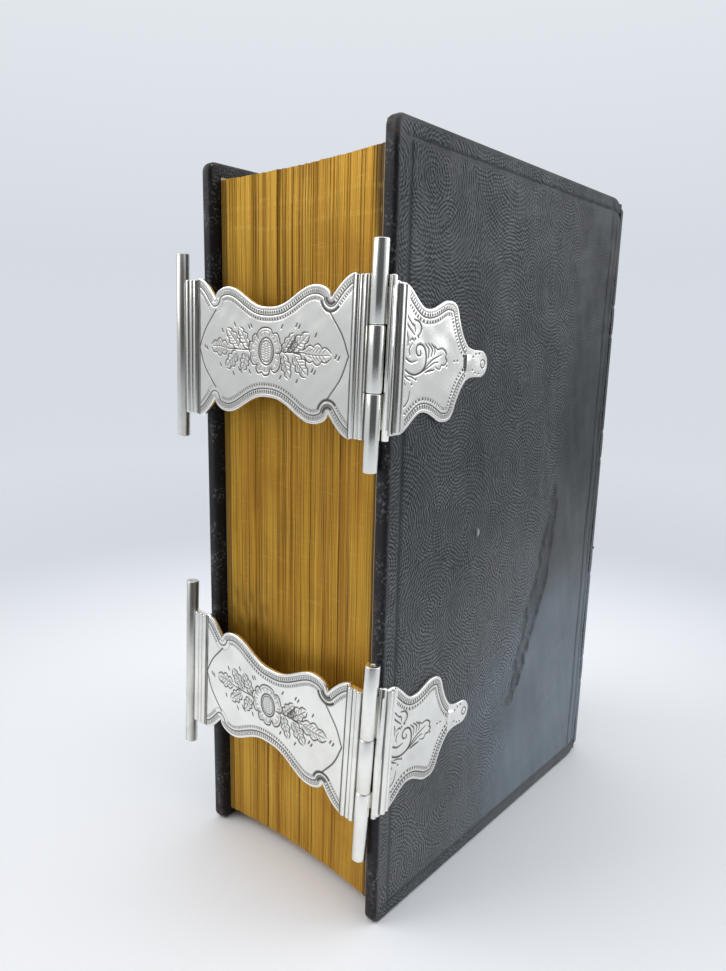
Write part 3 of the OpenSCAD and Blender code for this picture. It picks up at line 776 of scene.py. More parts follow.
def cover_wear(y, z, depth, side):
    """The marks on a cover's outer face, and how far each point of it stands out."""
    here = np.stack([y, z], -1)
    seed = 40 + side
    tool = tooling(y, z) * smoothstep(1.5, 3.6, depth)
    scuff, dent = scuffing(y, z) if side == REAR else (0 * y, 0 * y)
    chip = blob(y, z, CHIP, 0.55, 0.95) * (side == REAR)
    corner = np.exp(-np.hypot(y, np.minimum(z, BOOK_H - z)) / 8)
    rubbed = -0.42 + 0.4 * wobble(here, 9, seed) + 0.3 * wobble(here, 2.2, seed + 5) + 1.25 * corner
    wear = np.clip((1 - smoothstep(0.1, 1.7, depth)) * rubbed, 0, 1)
    # painted shade over the fore-edge's rounding, less of it near the head; the turned-in face gets it in
    # full
    painted_edge_shade = (1 - smoothstep(0.55, 1.35, y)) * (1 - 0.85 * smoothstep(BOOK_H - 8, BOOK_H - 3, z))
    border = np.interp(z, *np.transpose(WORN_FROM))
    worn = 0.78 * smoothstep(-7, 7, y - border) if side == REAR else 0.3 + 0 * y
    low_down = 0.1 * smoothstep(150, 95, z) + 0.28 * smoothstep(55, 25, z)
    worn = np.maximum(worn, low_down * smoothstep(8, 30, y))
    worn = np.maximum(worn, 0.8 * (1 - smoothstep(0.8, 1.6, depth)))
    painted_sheen = painted_sheen_at(y, z, side) * (1 - 0.55 * smoothstep(4.6, 3.2, z)) * (1 - 0.45 * tool)
    # a painted highlight at the head of the cover by its fore-edge
    painted_sheen += 0.35 * smoothstep(BOOK_H - 6, BOOK_H - 1, z) * (1 - smoothstep(2, 9, y))
    by_chip = 0.8 * blob(y, z, (CHIP[0] - 1.3, CHIP[1]), 0.9, 1.0)
    scuff = np.maximum(scuff, by_chip * (side == REAR))
    relief = 0.12 * wobble(here, 30, seed + 9) * smoothstep(2, 9, depth) - 0.26 * tool
    relief += 0.14 * scuff - 0.22 * dent + 0.35 * chip + 0.05 * wobble(here, 4.5, seed + 12)
    face = BOOK_T / 2 - round_off(depth, EDGE_R) + (relief - 0.1) * smoothstep(0, 1.6, depth)
    inner_wear = np.exp(-(((z - 68) / 24) ** 4)) * (0.55 + 0.6 * wobble(here, 2.1, seed + 30))
    inner_wear *= (side == REAR) * (1 - smoothstep(0.5, 2.6, y))
    inner_wear = np.clip(np.maximum(wear, inner_wear), 0, 1)
    blank = 0 * y
    marks = {"wear": (wear, inner_wear), "painted_edge_shade": (painted_edge_shade, blank + 1), "worn": (worn, worn)}
    marks |= {"scuff": (scuff, blank), "tool": (tool, blank)}
    marks |= {"chip": (chip, blank), "painted_sheen": (painted_sheen, blank)}
    return face, {name: np.ravel(pair) for name, pair in marks.items()}


def cover_skin(y, z):
    """Faces of a cover's outer face, turned-in border and the edge between, and the points they use."""
    rows, cols = y.shape
    total = rows * cols
    faces = grid_faces(rows, cols)
    mid_y, mid_z = ((grid[:-1, :-1] + grid[1:, 1:]) / 2 for grid in (y, z))
    turned_in = (mid_y < TURN_IN_W) | (mid_z < TURN_IN_W) | (mid_z > BOOK_H - TURN_IN_W)
    index = np.arange(total).reshape(rows, cols)
    path = np.concatenate([index[0, ::-1], index[1:-1, 0], index[-1, :]])
    band = np.stack([path[:-1], path[1:], path[1:] + total, path[:-1] + total], -1)
    skin = np.concatenate([faces, faces[turned_in.ravel()][:, ::-1] + total, band])
    used = np.unique(skin)
    return np.searchsorted(used, skin), used


def cover_leather(word, side):
    """Leather over a board: outer face, rounded edges and the turned-in border, as one shell."""
    y2, z2 = cover_grid()
    ys, zs = round_corners(y2, z2)
    depth = np.maximum(free_edge(ys, zs), 0)
    face, marks = cover_wear(ys, zs, depth, side)
    under = COVER_IN + round_off(depth, EDGE_R)
    by_joint = smoothstep(COVER_D - 5, COVER_D, ys) ** 2
    to_ends = smoothstep(BOOK_H - 7, BOOK_H, zs) - smoothstep(7, 0, zs)
    high = zs - CORNER_DROP * by_joint * to_ends
    points = np.concatenate([np.stack([x, ys, high], -1).reshape(-1, 3) for x in (face, under)])
    skin, used = cover_skin(y2, z2)
    total = ys.size
    shrink = 1 - TURN_IN_GAP / TURN_IN_W
    y, z = points[:, 1], points[:, 2]
    end = np.minimum(z, BOOK_H - z)
    deep = points.copy()
    deep[:, 1] = np.where(y < TURN_IN_W, TURN_IN_GAP + y * shrink, y)
    up = np.where(end < TURN_IN_W, TURN_IN_GAP + end * shrink, end)
    deep[:, 2] = np.where(z > BOOK_H / 2, BOOK_H - up, up)
    deep[:total, 0] = BOOK_T / 2 - LEATHER_T
    deep[total:, 0] = COVER_IN + TURN_IN_T - 0.03
    grain_u, grain_v = peel(*points.T, np.repeat([False, True], total))
    marks |= {"grain_u": grain_u + 0.3 * (side < 0), "grain_v": grain_v}
    marks = {name: values[used] for name, values in marks.items()}
    mirror = np.array([side, 1, 1])
    piece = shell(points[used] * mirror, skin[:, ::-side], deep[used] * mirror, marks)
    node = f"{word}_cover_leather"
    piece.make(f"{word}_chagrin", LEATHER, f"{word}_cover", node, slot="leather", smooth=50)


def headcap(end, round_from):
    """How far in the spine leather rolls at some height from its end, and some way round the spine."""
    return round_off(end, HEADCAP_R)[:, None] * np.minimum(1, HEADCAP_START * round_from)


def spine_rows():
    """Heights of the spine's rows of points, close together at its ends and bands."""
    z = [steps(0, (1.2, 0.2), (3, 0.6))]
    for band in BAND_Z:
        z += [steps(z[-1][-1], (band - 6, 1.6), (band + 7, 0.35))[1:]]
    z += [steps(z[-1][-1], (BOOK_H - 3, 1.6), (BOOK_H - 1.2, 0.6), (BOOK_H, 0.2))[1:]]
    return np.concatenate(z)


def spine_leather():
    """The rounded spine with its raised bands, and lines tooled beside each band."""
    angles = np.linspace(0, 180, 145)
    z = spine_rows()
    rise = sum(BAND_RISE * np.exp(-((np.abs(z - band) / (BAND_W / 2)) ** 4)) for band in BAND_Z)
    beside = sum(np.exp(-(((np.abs(z - band) - 4.4) / 0.5) ** 2)) for band in BAND_Z)
    end = np.minimum(z, BOOK_H - z)
    roll = headcap(end, np.sin(np.radians(angles)))
    groove_depth = 0.2 * beside[:, None] + round_off(end, 0.38)[:, None] + roll
    outer = [np.stack(arch(cut, angles, value), -1) for cut, value in zip(groove_depth, rise)]
    outer = np.stack(outer)
    flake = np.exp(-(((z[:, None] - FLAKE[1]) / 0.8) ** 2) - ((angles - FLAKE[0]) / 2.2) ** 2)
    outer = outer + flake[..., None] * [0.9, 0.5]
    back = LEATHER_T - round_off(end, 0.38)[:, None] + roll
    inner = np.stack([np.stack(arch(depth, angles), -1) for depth in back])
    sink = SPINE_SINK * (smoothstep(BOOK_H - 7, BOOK_H, z) - smoothstep(7, 0, z))
    height = np.broadcast_to((z - sink)[:, None, None], (len(z), len(angles), 1))
    outer, inner = np.concatenate([outer, height], -1), np.concatenate([inner, height], -1)
    here = outer.reshape(-1, 3)
    bulge = smoothstep(0.3, 1.1, rise)[:, None] * 0.5 + np.exp(-end / 2)[:, None] * 0.8
    rubbed = bulge * (0.55 + 0.4 * wobble(here, 6, 61).reshape(len(z), -1)) * np.sin(np.radians(angles))
    wear = np.clip(np.maximum(rubbed, 1.5 * flake), 0, 1)
    run = np.linalg.norm(np.diff(outer[len(z) // 2], axis=0), axis=-1)
    around = COVER_D + np.concatenate([[0], np.cumsum(run)])
    marks = {"wear": wear, "tool": beside[:, None] + 0 * wear, "worn": 0.35}
    marks |= {"grain_u": (around + 0 * wear) * MM, "grain_v": (z[:, None] + 0 * wear) * MM}
    # painted sheen, carried onto the spine from each cover's joint
    ends = np.stack([painted_sheen_at(COVER_D + 0 * z, z, side) for side in (REAR, FRONT)])
    toward = np.stack([smoothstep(50, 0, angles), smoothstep(130, 180, angles)])
    marks["painted_sheen"] = ends.T @ toward
    faces = grid_faces(len(z), len(angles))
    piece = shell(here, faces, inner.reshape(-1, 3), marks)
    piece.make("spine_chagrin", LEATHER, "book_block", "spine_leather", slot="leather")


def joint_strip(name, side, places, thickness, material, slot):
    """A strip over the joint where a cover turns, through (x, y) places from the cover to the spine."""
    line = spline(places, 0.12)
    z = steps(SPINE_SINK, (4, 0.4), (BOOK_H - 4, 1.5), (BOOK_H - SPINE_SINK, 0.4))
    curl = np.zeros((len(z), len(line)))
    if slot == "leather":
        past = np.clip((line[:, 1] - JOINT_Y + 0.2) / SPINE_ROUND, 0, 1)
        end = np.minimum(z, BOOK_H - z) - SPINE_SINK
        curl = headcap(end, past ** (SPINE_POWER / 2))
    layers = []
    for depth in (0, thickness):
        sheet = np.zeros((len(z), len(line), 3))
        sheet[..., 0], sheet[..., 1] = line[:, 0] - depth - curl, line[:, 1]
        sheet[..., 2] = z[:, None]
        layers.append(sheet.reshape(-1, 3) * [side, 1, 1])
    faces = grid_faces(len(z), len(line))
    faces = faces[:, ::-1] if side > 0 else faces
    marks = {"worn": 0.5, "grain_u": layers[0][:, 1] * MM, "grain_v": layers[0][:, 2] * MM}
    # painted sheen, as on the cover
    marks["painted_sheen"] = painted_sheen_at(COVER_D + 0 * layers[0][:, 2], layers[0][:, 2], side)
    piece = shell(layers[0], faces, layers[1], marks).make(name, material, None, slot=slot)
    spots = (ORIGIN + [side * BOOK_T / 2, y, BOOK_H / 2] for y in (JOINT_Y + 0.5, COVER_D - 0.3))
    start, end = (Vector(spot * MM) for spot in spots)
    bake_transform(piece)


def covers():
    for word, side in SIDES.items():
        cover_leather(word, side)
        face = BOOK_T / 2 - 0.16
        outside = ((face - 0.46, COVER_D - 1.6), (face - 0.4, COVER_D), (face - 0.22, JOINT_Y))
        outside += ((face - 0.06, JOINT_Y + 1.4),)
        joint_strip(f"{word}_joint_leather", side, outside, 0.5, LEATHER, "leather")
        inside = ((COVER_IN - 0.14, COVER_D - 2.2), (COVER_IN - 0.2, COVER_D))
        inside += ((BLOCK_HALF + 1.0, JOINT_Y + 2),)
        joint_strip(f"{word}_paper_joint", side, inside, 0.15, PAPER, "endpaper")


# ---- engraving ----

LINE_W = 0.3


class Engraving:
    """Cuts in a flat silver sheet, at points (s, t), and how deep and how dark each is."""

    def __init__(self, s, t):
        self.s, self.t = s, t
        self.cut = np.zeros(s.shape)

    def stroke(self, points, width=LINE_W, taper=0.6, strength=1.0):
        """A cut along a smooth curve; it swells to its width and thins at its ends by taper."""
        line = spline(points, 0.12)
        reach = width + 0.1
        low, high = line.min(0) - reach, line.max(0) + reach
        near = (self.s > low[0]) & (self.s < high[0]) & (self.t > low[1]) & (self.t < high[1])
        if not near.any():
            return
        spots = np.stack([self.s[near], self.t[near]], -1)
        along = np.linspace(0, 1, len(line))
        half = width / 2 * ((1 - taper) + taper * np.sin(np.pi * (0.04 + 0.92 * along)) ** 0.7)
        best = np.zeros(len(spots))
        for first in range(0, len(line), 40):
            part = slice(first, first + 40)
            gap = np.linalg.norm(spots[:, None, :] - line[None, part, :], axis=-1)
            best = np.maximum(best, (1 - gap / (half[part] + 0.06)).max(1))
        self.cut[near] = np.maximum(self.cut[near], strength * np.clip(best * 1.7, 0, 1))

    def dot(self, s, t, radius=0.3):
        self.stroke(((s - 0.05, t), (s + 0.05, t)), 2 * radius, 0.0)

    def leaf(self, base, tip, width):
        """A lobed leaf: a rib, three bowed lobes to each side, and shading strokes off the rib."""
        base, tip = np.array(base, float), np.array(tip, float)
        way = tip - base
        length = np.linalg.norm(way)
        across = np.array([-way[1], way[0]]) / length

        def at(u, v):
            return base + way * u + across * v * width

        def edge(u):
            return 0.56 * math.sin(math.pi * (0.10 + 0.82 * u)) ** 0.8

        self.stroke([at(0, 0), at(0.5, 0.05), at(0.95, 0)], 0.28, 0.4, 0.9)
        for hand in (-1, 1):
            for start, end in ((0.02, 0.40), (0.34, 0.72), (0.66, 1.03)):
                mid = (start + end) / 2
                bowed = [at(start, 0.72 * edge(start) * hand), at(mid, 1.06 * edge(mid) * hand)]
                bowed += [at(end, 0.66 * edge(min(end, 1)) * hand)]
                self.stroke(bowed, 0.42, 0.75)
            count = max(2, round(length / 1.3))
            for k in range(count):
                u = 0.08 + 0.75 * k / count
                reach = edge(u)
                shade = [at(u, 0.05 * hand), at(u + 0.06, 0.4 * reach * hand)]
                shade += [at(u + 0.15, 0.7 * reach * hand)]
                self.stroke(shade, 0.26, 0.7, 0.8)


def outline_field(s, t, outline):
    """Distance of each point to the outline, and how far along the outline that is."""
    length = np.concatenate([[0], np.cumsum(np.linalg.norm(np.diff(outline, axis=0), axis=1))])
    tree = kdtree.KDTree(len(outline))
    for k, point in enumerate(outline):
        tree.insert((point[0], point[1], 0), k)
    tree.balance()
    found = [tree.find((a, b, 0)) for a, b in zip(s.ravel(), t.ravel())]
    distance = np.array([hit[2] for hit in found]).reshape(s.shape)
    along = length[np.array([hit[1] for hit in found])].reshape(s.shape)
    return distance, along


def groove(distance, centre, width):
    """A line at some distance from the outline: 1 in its middle, 0 past its width."""
    return np.clip(1.6 * (1 - np.abs(distance - centre) / width), 0, 1)


def border(distance, along):
    """Lines parallel to the outline, with two rows of bright-cut ticks between them."""
    ticks = np.clip(0.45 + 1.3 * np.cos(2 * math.pi * along / 0.7), 0, 1)
    lines = np.maximum(0.7 * groove(distance, 0.85, 0.16), groove(distance, 1.98, 0.26))
    rows = np.maximum(groove(distance, 1.38, 0.58) * ticks, groove(distance, 2.95, 0.52) * ticks)
    return np.max([lines, rows, 0.35 * groove(distance, 3.3, 0.2)], axis=0)


HEART = (32.6, 0.2)
PETALS = (
    # strokes round the flower's heart, from its centre
    ((3.4, 3.6), (2.2, 4.9), (0.5, 5.4), (-1.5, 5.1), (-2.3, 3.9)),
    ((-2.2, 4.0), (-3.6, 4.2), (-4.5, 3.0), (-4.8, 1.9)),
    ((-4.9, 2.0), (-5.4, 0.9), (-4.7, -0.2), (-3.5, -0.4)),
    ((-4.6, -0.3), (-5.0, -2.2), (-4.3, -3.9), (-2.8, -4.7), (-1.4, -3.7)),
    ((-1.5, -3.8), (-0.9, -5.2), (0.6, -5.5), (1.6, -4.7)),
    ((1.5, -4.9), (2.7, -5.1), (3.4, -4.1), (3.2, -3.0)),
    ((3.1, -3.1), (4.6, -3.1), (5.4, -1.8), (5.1, -0.6)),
    ((5.2, -0.8), (6.0, 0.4), (5.6, 1.9), (4.5, 2.2)),
    ((4.6, 2.0), (4.7, 3.1), (3.8, 3.9), (3.0, 3.5)),
)
LEAVES_BY_FLOWER = (
    # base, tip and width, from the flower's centre; the hinge is on the negative side
    ((-5.5, 0.1), (-9.2, 4.1), 2.3),
    ((-8.4, 0.4), (-13.6, 4.2), 3.1),
    ((-12.2, 0.1), (-20.4, -0.1), 3.9),
    ((-5.8, -0.5), (-7.9, -5.6), 2.7),
    ((-9.3, -0.4), (-13.4, -4.8), 3.2),
    ((-7.3, 0.2), (-10.2, 2.2), 1.4),
    ((6.1, 0.5), (9.5, 5.0), 2.6),
    ((9.4, 0.5), (13.9, 4.7), 2.8),
    ((13.6, 0.3), (19.9, 0.6), 3.6),
    ((10.1, -0.7), (14.3, -4.2), 3.0),
    ((6.8, -0.8), (8.1, -4.6), 2.8),
)
DASHES = ((-5.3, 5.7), (-9.9, 6.1), (-10.8, 5.8), (-15.9, 4.1), (-15.1, -3.5), (-15.9, -3.9), (-5.0, -5.6),
          (-10.4, -6.1), (-21.9, -0.2), (-22.8, -0.5), (5.2, 5.7), (6.0, 5.4), (11.2, 5.9), (15.7, 4.4),
          (16.5, -3.9), (11.5, -5.7), (9.4, -4.5), (8.7, -5.0), (5.6, -4.9), (21.8, 0.0), (22.6, 0.3))


def flower(cut):
    """A rose with an oval hatched heart, leaves to both sides and small dashes round them."""
    heart = np.array(HEART)
    turn = np.radians(np.linspace(0, 360, 25))
    for scale, width in ((1.0, 0.5), (0.8, 0.24)):
        oval = np.stack([2.55 * scale * np.cos(turn), 3.1 * scale * np.sin(turn)], -1)
        cut.stroke(heart + oval, width, 0)
    for k in range(-4, 5):
        reach = 2.2 * math.sqrt(1 - (k / 5.4) ** 2)
        for way in ((1, 0.25), (-1, 0.25)):
            slant = np.array(way) * reach
            cut.stroke([heart + [0, 0.56 * k] - slant, heart + [0, 0.56 * k] + slant], 0.17, 0.3, 0.55)
    for petal in PETALS:
        points = np.array(petal)
        cut.stroke(heart + points, 0.5, 0.6)
        cut.stroke(heart + points * 0.86, 0.24, 0.6, 0.7)
        for point in points[1:-1]:
            cut.stroke([heart + point * 0.66, heart + point * 0.84], 0.26, 0.7, 0.8)
    for base, tip, width in LEAVES_BY_FLOWER:
        cut.leaf(heart + base, heart + tip, width)
    for reach in (-12.4, 13.8):
        cut.stroke([heart + [math.copysign(5.2, reach), 0.1], heart + [reach, 0.2]], 0.36, 0.3)
    for spot in DASHES:
        slant = [0.22, 0.42 * math.copysign(1, spot[0])]
        cut.stroke([heart + spot - np.array(slant), heart + spot + np.array(slant)], 0.5, 0.3)


SCROLL = (
    # strokes of the scroll and leaves on an anchor plate: width, then points (s, t)
    (0.55, (2.4, 3.6), (2.6, 1.9), (3.7, 0.6), (5.7, -0.3), (7.8, 0.0)),
    (0.65, (1.8, 1.4), (2.2, -0.4), (3.3, -1.6), (5.3, -2.6), (7.6, -2.9), (9.8, -2.1), (11.0, -0.6),
     (11.1, 1.2), (10.4, 2.8), (9.0, 3.4), (7.8, 3.1), (7.4, 2.1), (8.0, 1.1), (9.1, 1.2), (8.9, 2.0)),
    (0.40, (1.5, 12.0), (2.7, 10.3), (4.1, 8.6), (5.9, 7.0)),
    (0.48, (1.4, 11.0), (2.7, 8.7), (4.3, 6.9), (6.6, 5.2)),
    (0.40, (1.4, 9.6), (2.3, 7.8), (4.2, 4.9), (4.5, 2.9)),
    (0.34, (1.8, 7.0), (2.6, 4.4), (2.5, 2.4)),
    (0.55, (6.2, 8.3), (8.0, 7.9), (8.9, 6.7), (8.5, 5.5), (7.6, 5.0)),
    (0.40, (5.3, 7.5), (6.4, 7.0), (6.8, 5.8)),
    (0.45, (6.6, 3.9), (5.9, 4.4), (5.0, 3.9)),
    (0.36, (5.9, 3.4), (5.1, 2.2), (5.3, 1.0)),
    (0.44, (10.5, 3.7), (12.0, 2.4), (11.9, 0.6)),
    (0.44, (11.6, 3.8), (13.2, 2.5), (12.9, 0.9)),
    (0.44, (12.8, 3.7), (14.2, 2.6), (14.0, 1.3)),
    (0.50, (14.0, 3.3), (15.2, 2.6), (17.0, 2.8), (18.5, 1.9), (18.4, 0.9), (19.0, 0.2), (18.0, -0.7),
     (17.0, -0.7), (16.2, -1.6), (14.6, -1.3)),
    (0.42, (16.8, 1.5), (15.0, 0.9), (13.4, 0.3), (11.6, -0.9), (10.2, -2.0)),
    (0.38, (15.6, -0.2), (14.2, -0.3), (12.2, -1.2), (9.2, -2.6)),
    (0.60, (10.8, -2.4), (12.4, -2.0), (14.2, -1.8)),
    (0.40, (2.0, -2.2), (3.1, -3.5), (4.2, -5.2)),
    (0.46, (2.8, -2.1), (4.2, -3.5), (5.7, -4.2)),
    (0.40, (4.6, -3.2), (6.2, -3.4), (7.6, -3.9)),
    (0.36, (1.9, -4.4), (2.2, -6.0), (3.2, -6.8)),
    (0.40, (1.9, -9.5), (4.1, -9.5), (5.4, -8.2), (5.9, -6.3)),
    (0.34, (1.8, -7.6), (3.0, -8.2), (4.0, -7.4)),
    (0.40, (1.6, -12.6), (2.8, -11.4), (4.6, -10.9)),
)
SCROLL_DOTS = ((6.9, 4.4), (8.0, 4.8), (7.8, -3.9), (6.4, -4.9), (18.9, -0.9), (21.9, 0.3), (23.2, 0.4),
               (2.8, -6.2))


def scroll(cut):
    """The scroll, leaves and dots of a plate on a cover."""
    for width, *points in SCROLL:
        cut.stroke(points, width, 0.65)
    for s, t in SCROLL_DOTS:
        cut.dot(s, t)


# ---- straps ----

STRAP_MID = 32.0
STRAP_ENDS = (1.9, 63.1)
WING_ENDS = (6.05, 57.95)  # the engraved part, between the mouldings
WING_LINES = (6.45, 57.55)
LENS_TIPS = (7.1, 57.6)
LENS_CORNERS = (13.0, 51.0)


def strap_half(s):
    """Half height of a strap at s from its hinge."""
    a = np.abs(np.asarray(s, float) - STRAP_MID)
    waist = 10.3 + 4.7 * np.sin(np.radians(90 * np.minimum(a, 14.6) / 14.6)) ** 2.6
    lobe = 12.2 + 2.8 * np.sqrt(np.clip(1 - ((a - 14.6) / 4.8) ** 2, 0, 1))
    wing = 12.2 + 4.9 * np.sin(np.radians(90 * np.clip((a - 19.4) / 6.6, 0, 1)))
    return np.where(a < 14.6, waist, np.where(a < 19.4, lobe, np.where(a <= 26, wing, BEAD_HALF)))


def outline_of(s, half):
    """Points (s, t) out along the upper edge and back along the lower one."""
    return np.vstack([np.stack([s, half], -1), np.stack([s[::-1], -half[::-1]], -1)])


def sheet_grid(stations, half, spacing):
    """Points (s, t) of a grid that fills the space between the upper and the lower edge."""
    rows = int(2 * half.max() / spacing)
    v = np.linspace(-1, 1, rows)
    s = np.broadcast_to(stations, (rows, len(stations)))
    return s, v[:, None] * half


def strap(name, clasp):
    stations = steps(STRAP_ENDS[0], (STRAP_ENDS[1], 0.13))
    half = strap_half(stations)
    s, t = sheet_grid(stations, half, 0.13)
    fine = np.linspace(*WING_ENDS, 1300)
    distance, along = outline_field(s, t, outline_of(fine, strap_half(fine)))
    cut = Engraving(s, t)
    wings = (s > WING_LINES[0] - 0.05) & (s < WING_LINES[1] + 0.05)
    cut.cut = border(distance, along) * wings
    for tip, corner in zip(LENS_TIPS, LENS_CORNERS):
        bow = tip * 0.64 + corner * 0.36
        for hand in (-1, 1):
            cut.stroke(((corner, 9.4 * hand), (bow, 4.7 * hand), (tip, 0.2)), 0.46, 0.0)
    for s0 in WING_LINES:
        cut.stroke(((s0, -16.6), (s0, 16.6)), 0.5, 0.0)
    flower(cut)
    here = np.stack([s, t], -1)
    swell = 0.05 * wobble(here, 15, 71) + 0.02 * wobble(here, 5, 72)
    rim = np.minimum(distance, np.minimum(s - STRAP_ENDS[0], STRAP_ENDS[1] - s) + 0.3)
    face = STRAP_FRONT - swell + round_off(np.abs(rim), 0.3) + CUT_DEPTH * cut.cut
    high = t + clasp["lift"]
    place = hinge_place(clasp)
    front = place(np.stack([-s, face, high], -1))
    back = place(np.stack([-s, np.full(s.shape, STRAP_FRONT + STRAP_T), high], -1))
    piece = thin_sheet(front, back, cut=cut.cut)
    piece.make(f"{name}_engraved_strap", SILVER, f"{name}_clasp", f"{name}_strap", slot="silver")


MOULDINGS = {
    # where a strap's moulding starts and ends, then s and radius of each ridge
    "hinge": ((2.0, 6.25), ((5.3, 0.65), (3.95, 0.5), (2.75, 0.6))),
    "catch": ((57.95, 62.8), ((58.8, 0.6), (60.3, 0.55), (61.8, 0.75))),
}
RIDGE_BASE = 0.16  # how far the strip under the ridges stands out


def ridges(s, beads):
    """Height of half-round ridges side by side, with a thin fillet between them."""
    return np.max([np.sqrt(np.clip(r**2 - (s - at) ** 2, 0, None)) for at, r in beads], axis=0)


def moulding(beads, low, high, half, place):
    """Half-round ridges along Z on a thin strip; place takes (s, height, t)."""
    s = steps(low, (high, 0.07))
    height = RIDGE_BASE + ridges(s, beads)
    t = np.concatenate([-half + np.array([0, 0.05, 0.15, 0.3]), half - np.array([0.3, 0.15, 0.05, 0])])
    end = np.minimum(half - np.abs(t), 0.3)
    drop = round_off(end, 0.3)
    s2, t2 = np.meshgrid(s, t)
    top = np.stack([s2, np.maximum(height - drop[:, None], 0.02), t2], -1)
    base = top * [1, 0, 1]
    crease = np.clip(1 - (height - RIDGE_BASE) / 0.22, 0, 1)
    cut = np.broadcast_to(crease * 0.75, top.shape[:2])
    return thin_sheet(place(top), place(base), cut=cut)


def strap_mouldings(name, clasp):
    place = hinge_place(clasp)

    def on_strap(p):
        return place(np.stack([-p[..., 0], STRAP_FRONT - p[..., 1], p[..., 2] + clasp["lift"]], -1))

    for end, ((low, high), beads) in MOULDINGS.items():
        piece = moulding(beads, low, high, BEAD_HALF, on_strap)
        node = f"{name}_{end}_beads"
        piece.make(f"{name}_{end}_moulding", SILVER, f"{name}_clasp", node, slot="silver", smooth=35)


# ---- hinge tubes and rods ----


def tube_profile(low, high, outer=TUBE_R, inner=BORE_R, chamfer=0.18):
    some = chamfer * 0.3
    start = [(inner, low), (outer - chamfer, low), (outer - some, low + some), (outer, low + chamfer)]
    end = [(outer, high - chamfer), (outer - some, high - some), (outer - chamfer, high), (inner, high)]
    return start + end


def hinge(name, clasp):
    """Three knuckles on a pin, with webs to the plate and to the strap."""
    place = hinge_place(clasp)
    half = clasp["tube"] / 2
    step = MIDDLE_KNUCKLE / 2 + KNUCKLE_GAP
    plate_mid = clasp["plate_z"] - clasp["hinge"][2]
    web_end = BOOK_T / 2 + PLATE_T - clasp["hinge"][0] - 0.1
    web_back = -clasp["hinge"][1] - 0.3
    outer = Piece()
    turned(outer, tube_profile(step, half), place)
    turned(outer, tube_profile(-half, -step), place)
    reach = WEB_HALF - 0.1
    for low, high in ((step, plate_mid + reach), (plate_mid - reach, -step)):
        rounded_box(outer, (1, 1.1, low), (FLANGE_BEAD[0], web_back - 0.1, high), 0.15, place)
    low, high = (1.65, 1.05, plate_mid - WEB_HALF), (web_end, web_back, plate_mid + WEB_HALF)
    rounded_box(outer, low, high, 0.15, place)
    ends = [(0.02, -BEAD_HALF), (0.6, -BEAD_HALF + 0.05), (FLANGE_BEAD_R, -BEAD_HALF + 0.3)]
    bead = ends + [(radius, -z) for radius, z in ends[::-1]]
    turned(outer, bead, lambda p: place(p + [*FLANGE_BEAD, plate_mid]), 40, closed=False)
    outer.make(f"{name}_outer_knuckles", SILVER, "rear_cover", f"{name}_anchor_knuckles", slot="silver")
    middle = Piece()
    turned(middle, tube_profile(-MIDDLE_KNUCKLE / 2, MIDDLE_KNUCKLE / 2), place)
    web_half = MIDDLE_KNUCKLE / 2 - 0.05
    low, high = (-1.85, STRAP_FRONT + 0.02, -web_half), (-0.9, STRAP_FRONT + STRAP_T, web_half)
    rounded_box(middle, low, high, 0.12, place)
    body = f"{name}_clasp"
    middle.make(f"{name}_middle_knuckle", SILVER, body, f"{name}_strap_knuckle", slot="silver")
    pin = Piece()
    tip = half - 0.25
    dome = [(0.02, -tip), (0.45, -tip + 0.06), (0.68, -tip + 0.25), (0.68, tip - 0.25), (0.45, tip - 0.06)]
    turned(pin, [*dome, (0.02, tip)], place, 32, closed=False)
    pin.make(f"{name}_pin", SILVER, "rear_cover", f"{name}_hinge_pin", slot="silver")


def closing_rod(name, clasp):
    """The rod at a strap's free end, with rounded ends and a painted dark reflection along its inner side.
    """
    place = hinge_place(clasp)
    half = clasp["tube"] / 2
    profile = [(0.3, -half + 0.12), (1.25, -half), (1.5, -half + 0.06), (1.7, -half + 0.28)]
    profile = profile + [(radius, -z) for radius, z in profile[::-1]]
    rod = Piece()
    turned(rod, profile, lambda p: place(p + [-STRAP_LEN, 0, clasp["lift"]]), closed=False)
    around = np.degrees(np.arctan2(*(np.vstack(rod.points) - place([-STRAP_LEN, 0, 0])).T[1::-1]))
    # painted reflection: the side facing the book is darkened through the cut mark
    painted_dark_reflection = 0.42 * smoothstep(-125, -70, around) * smoothstep(60, 10, around)
    rod.marks["cut"] = [(0, painted_dark_reflection)]
    rod.make(f"{name}_rod", SILVER, f"{name}_clasp", f"{name}_closing_rod", slot="silver")


# ---- plates on the covers ----

ANCHOR_TIP = 36.1
TAB_S = 33.0
TAB_R = 3.1
RING_S = 34.0  # the engraved ring on the tab, over a rivet
PUNCHES = ((29.6, 1.5), (30.8, 2.1), (29.6, -1.5), (30.8, -2.1), (32.2, 2.3), (32.2, -2.3))
PLATE_LINES = (0.5, 3.55)  # s of the cuts to each side of the raised beads
BORDER_START = (4.2, 4.6)
BORDER_END = 26.5
NECK_S, WAIST_S, LOBE_S = 2.5, 10.9, 18.6  # where an anchor plate's outline starts to change
SHOULDER = (
    # (s, half height) of an anchor plate from its lobe to its tab
    (LOBE_S, 13.2), (20.2, 13.15), (21.6, 12.6), (22.6, 11.4), (23.5, 9.2),
    (24.6, 7.1), (26.0, 5.1), (27.6, 3.75), (30.0, 3.2), (TAB_S, TAB_R),
)


def ease(a, b, s):
    """From a to b in a half wave, as s goes from 0 to 1."""
    return a + (b - a) * (1 - np.cos(np.radians(180 * s))) / 2


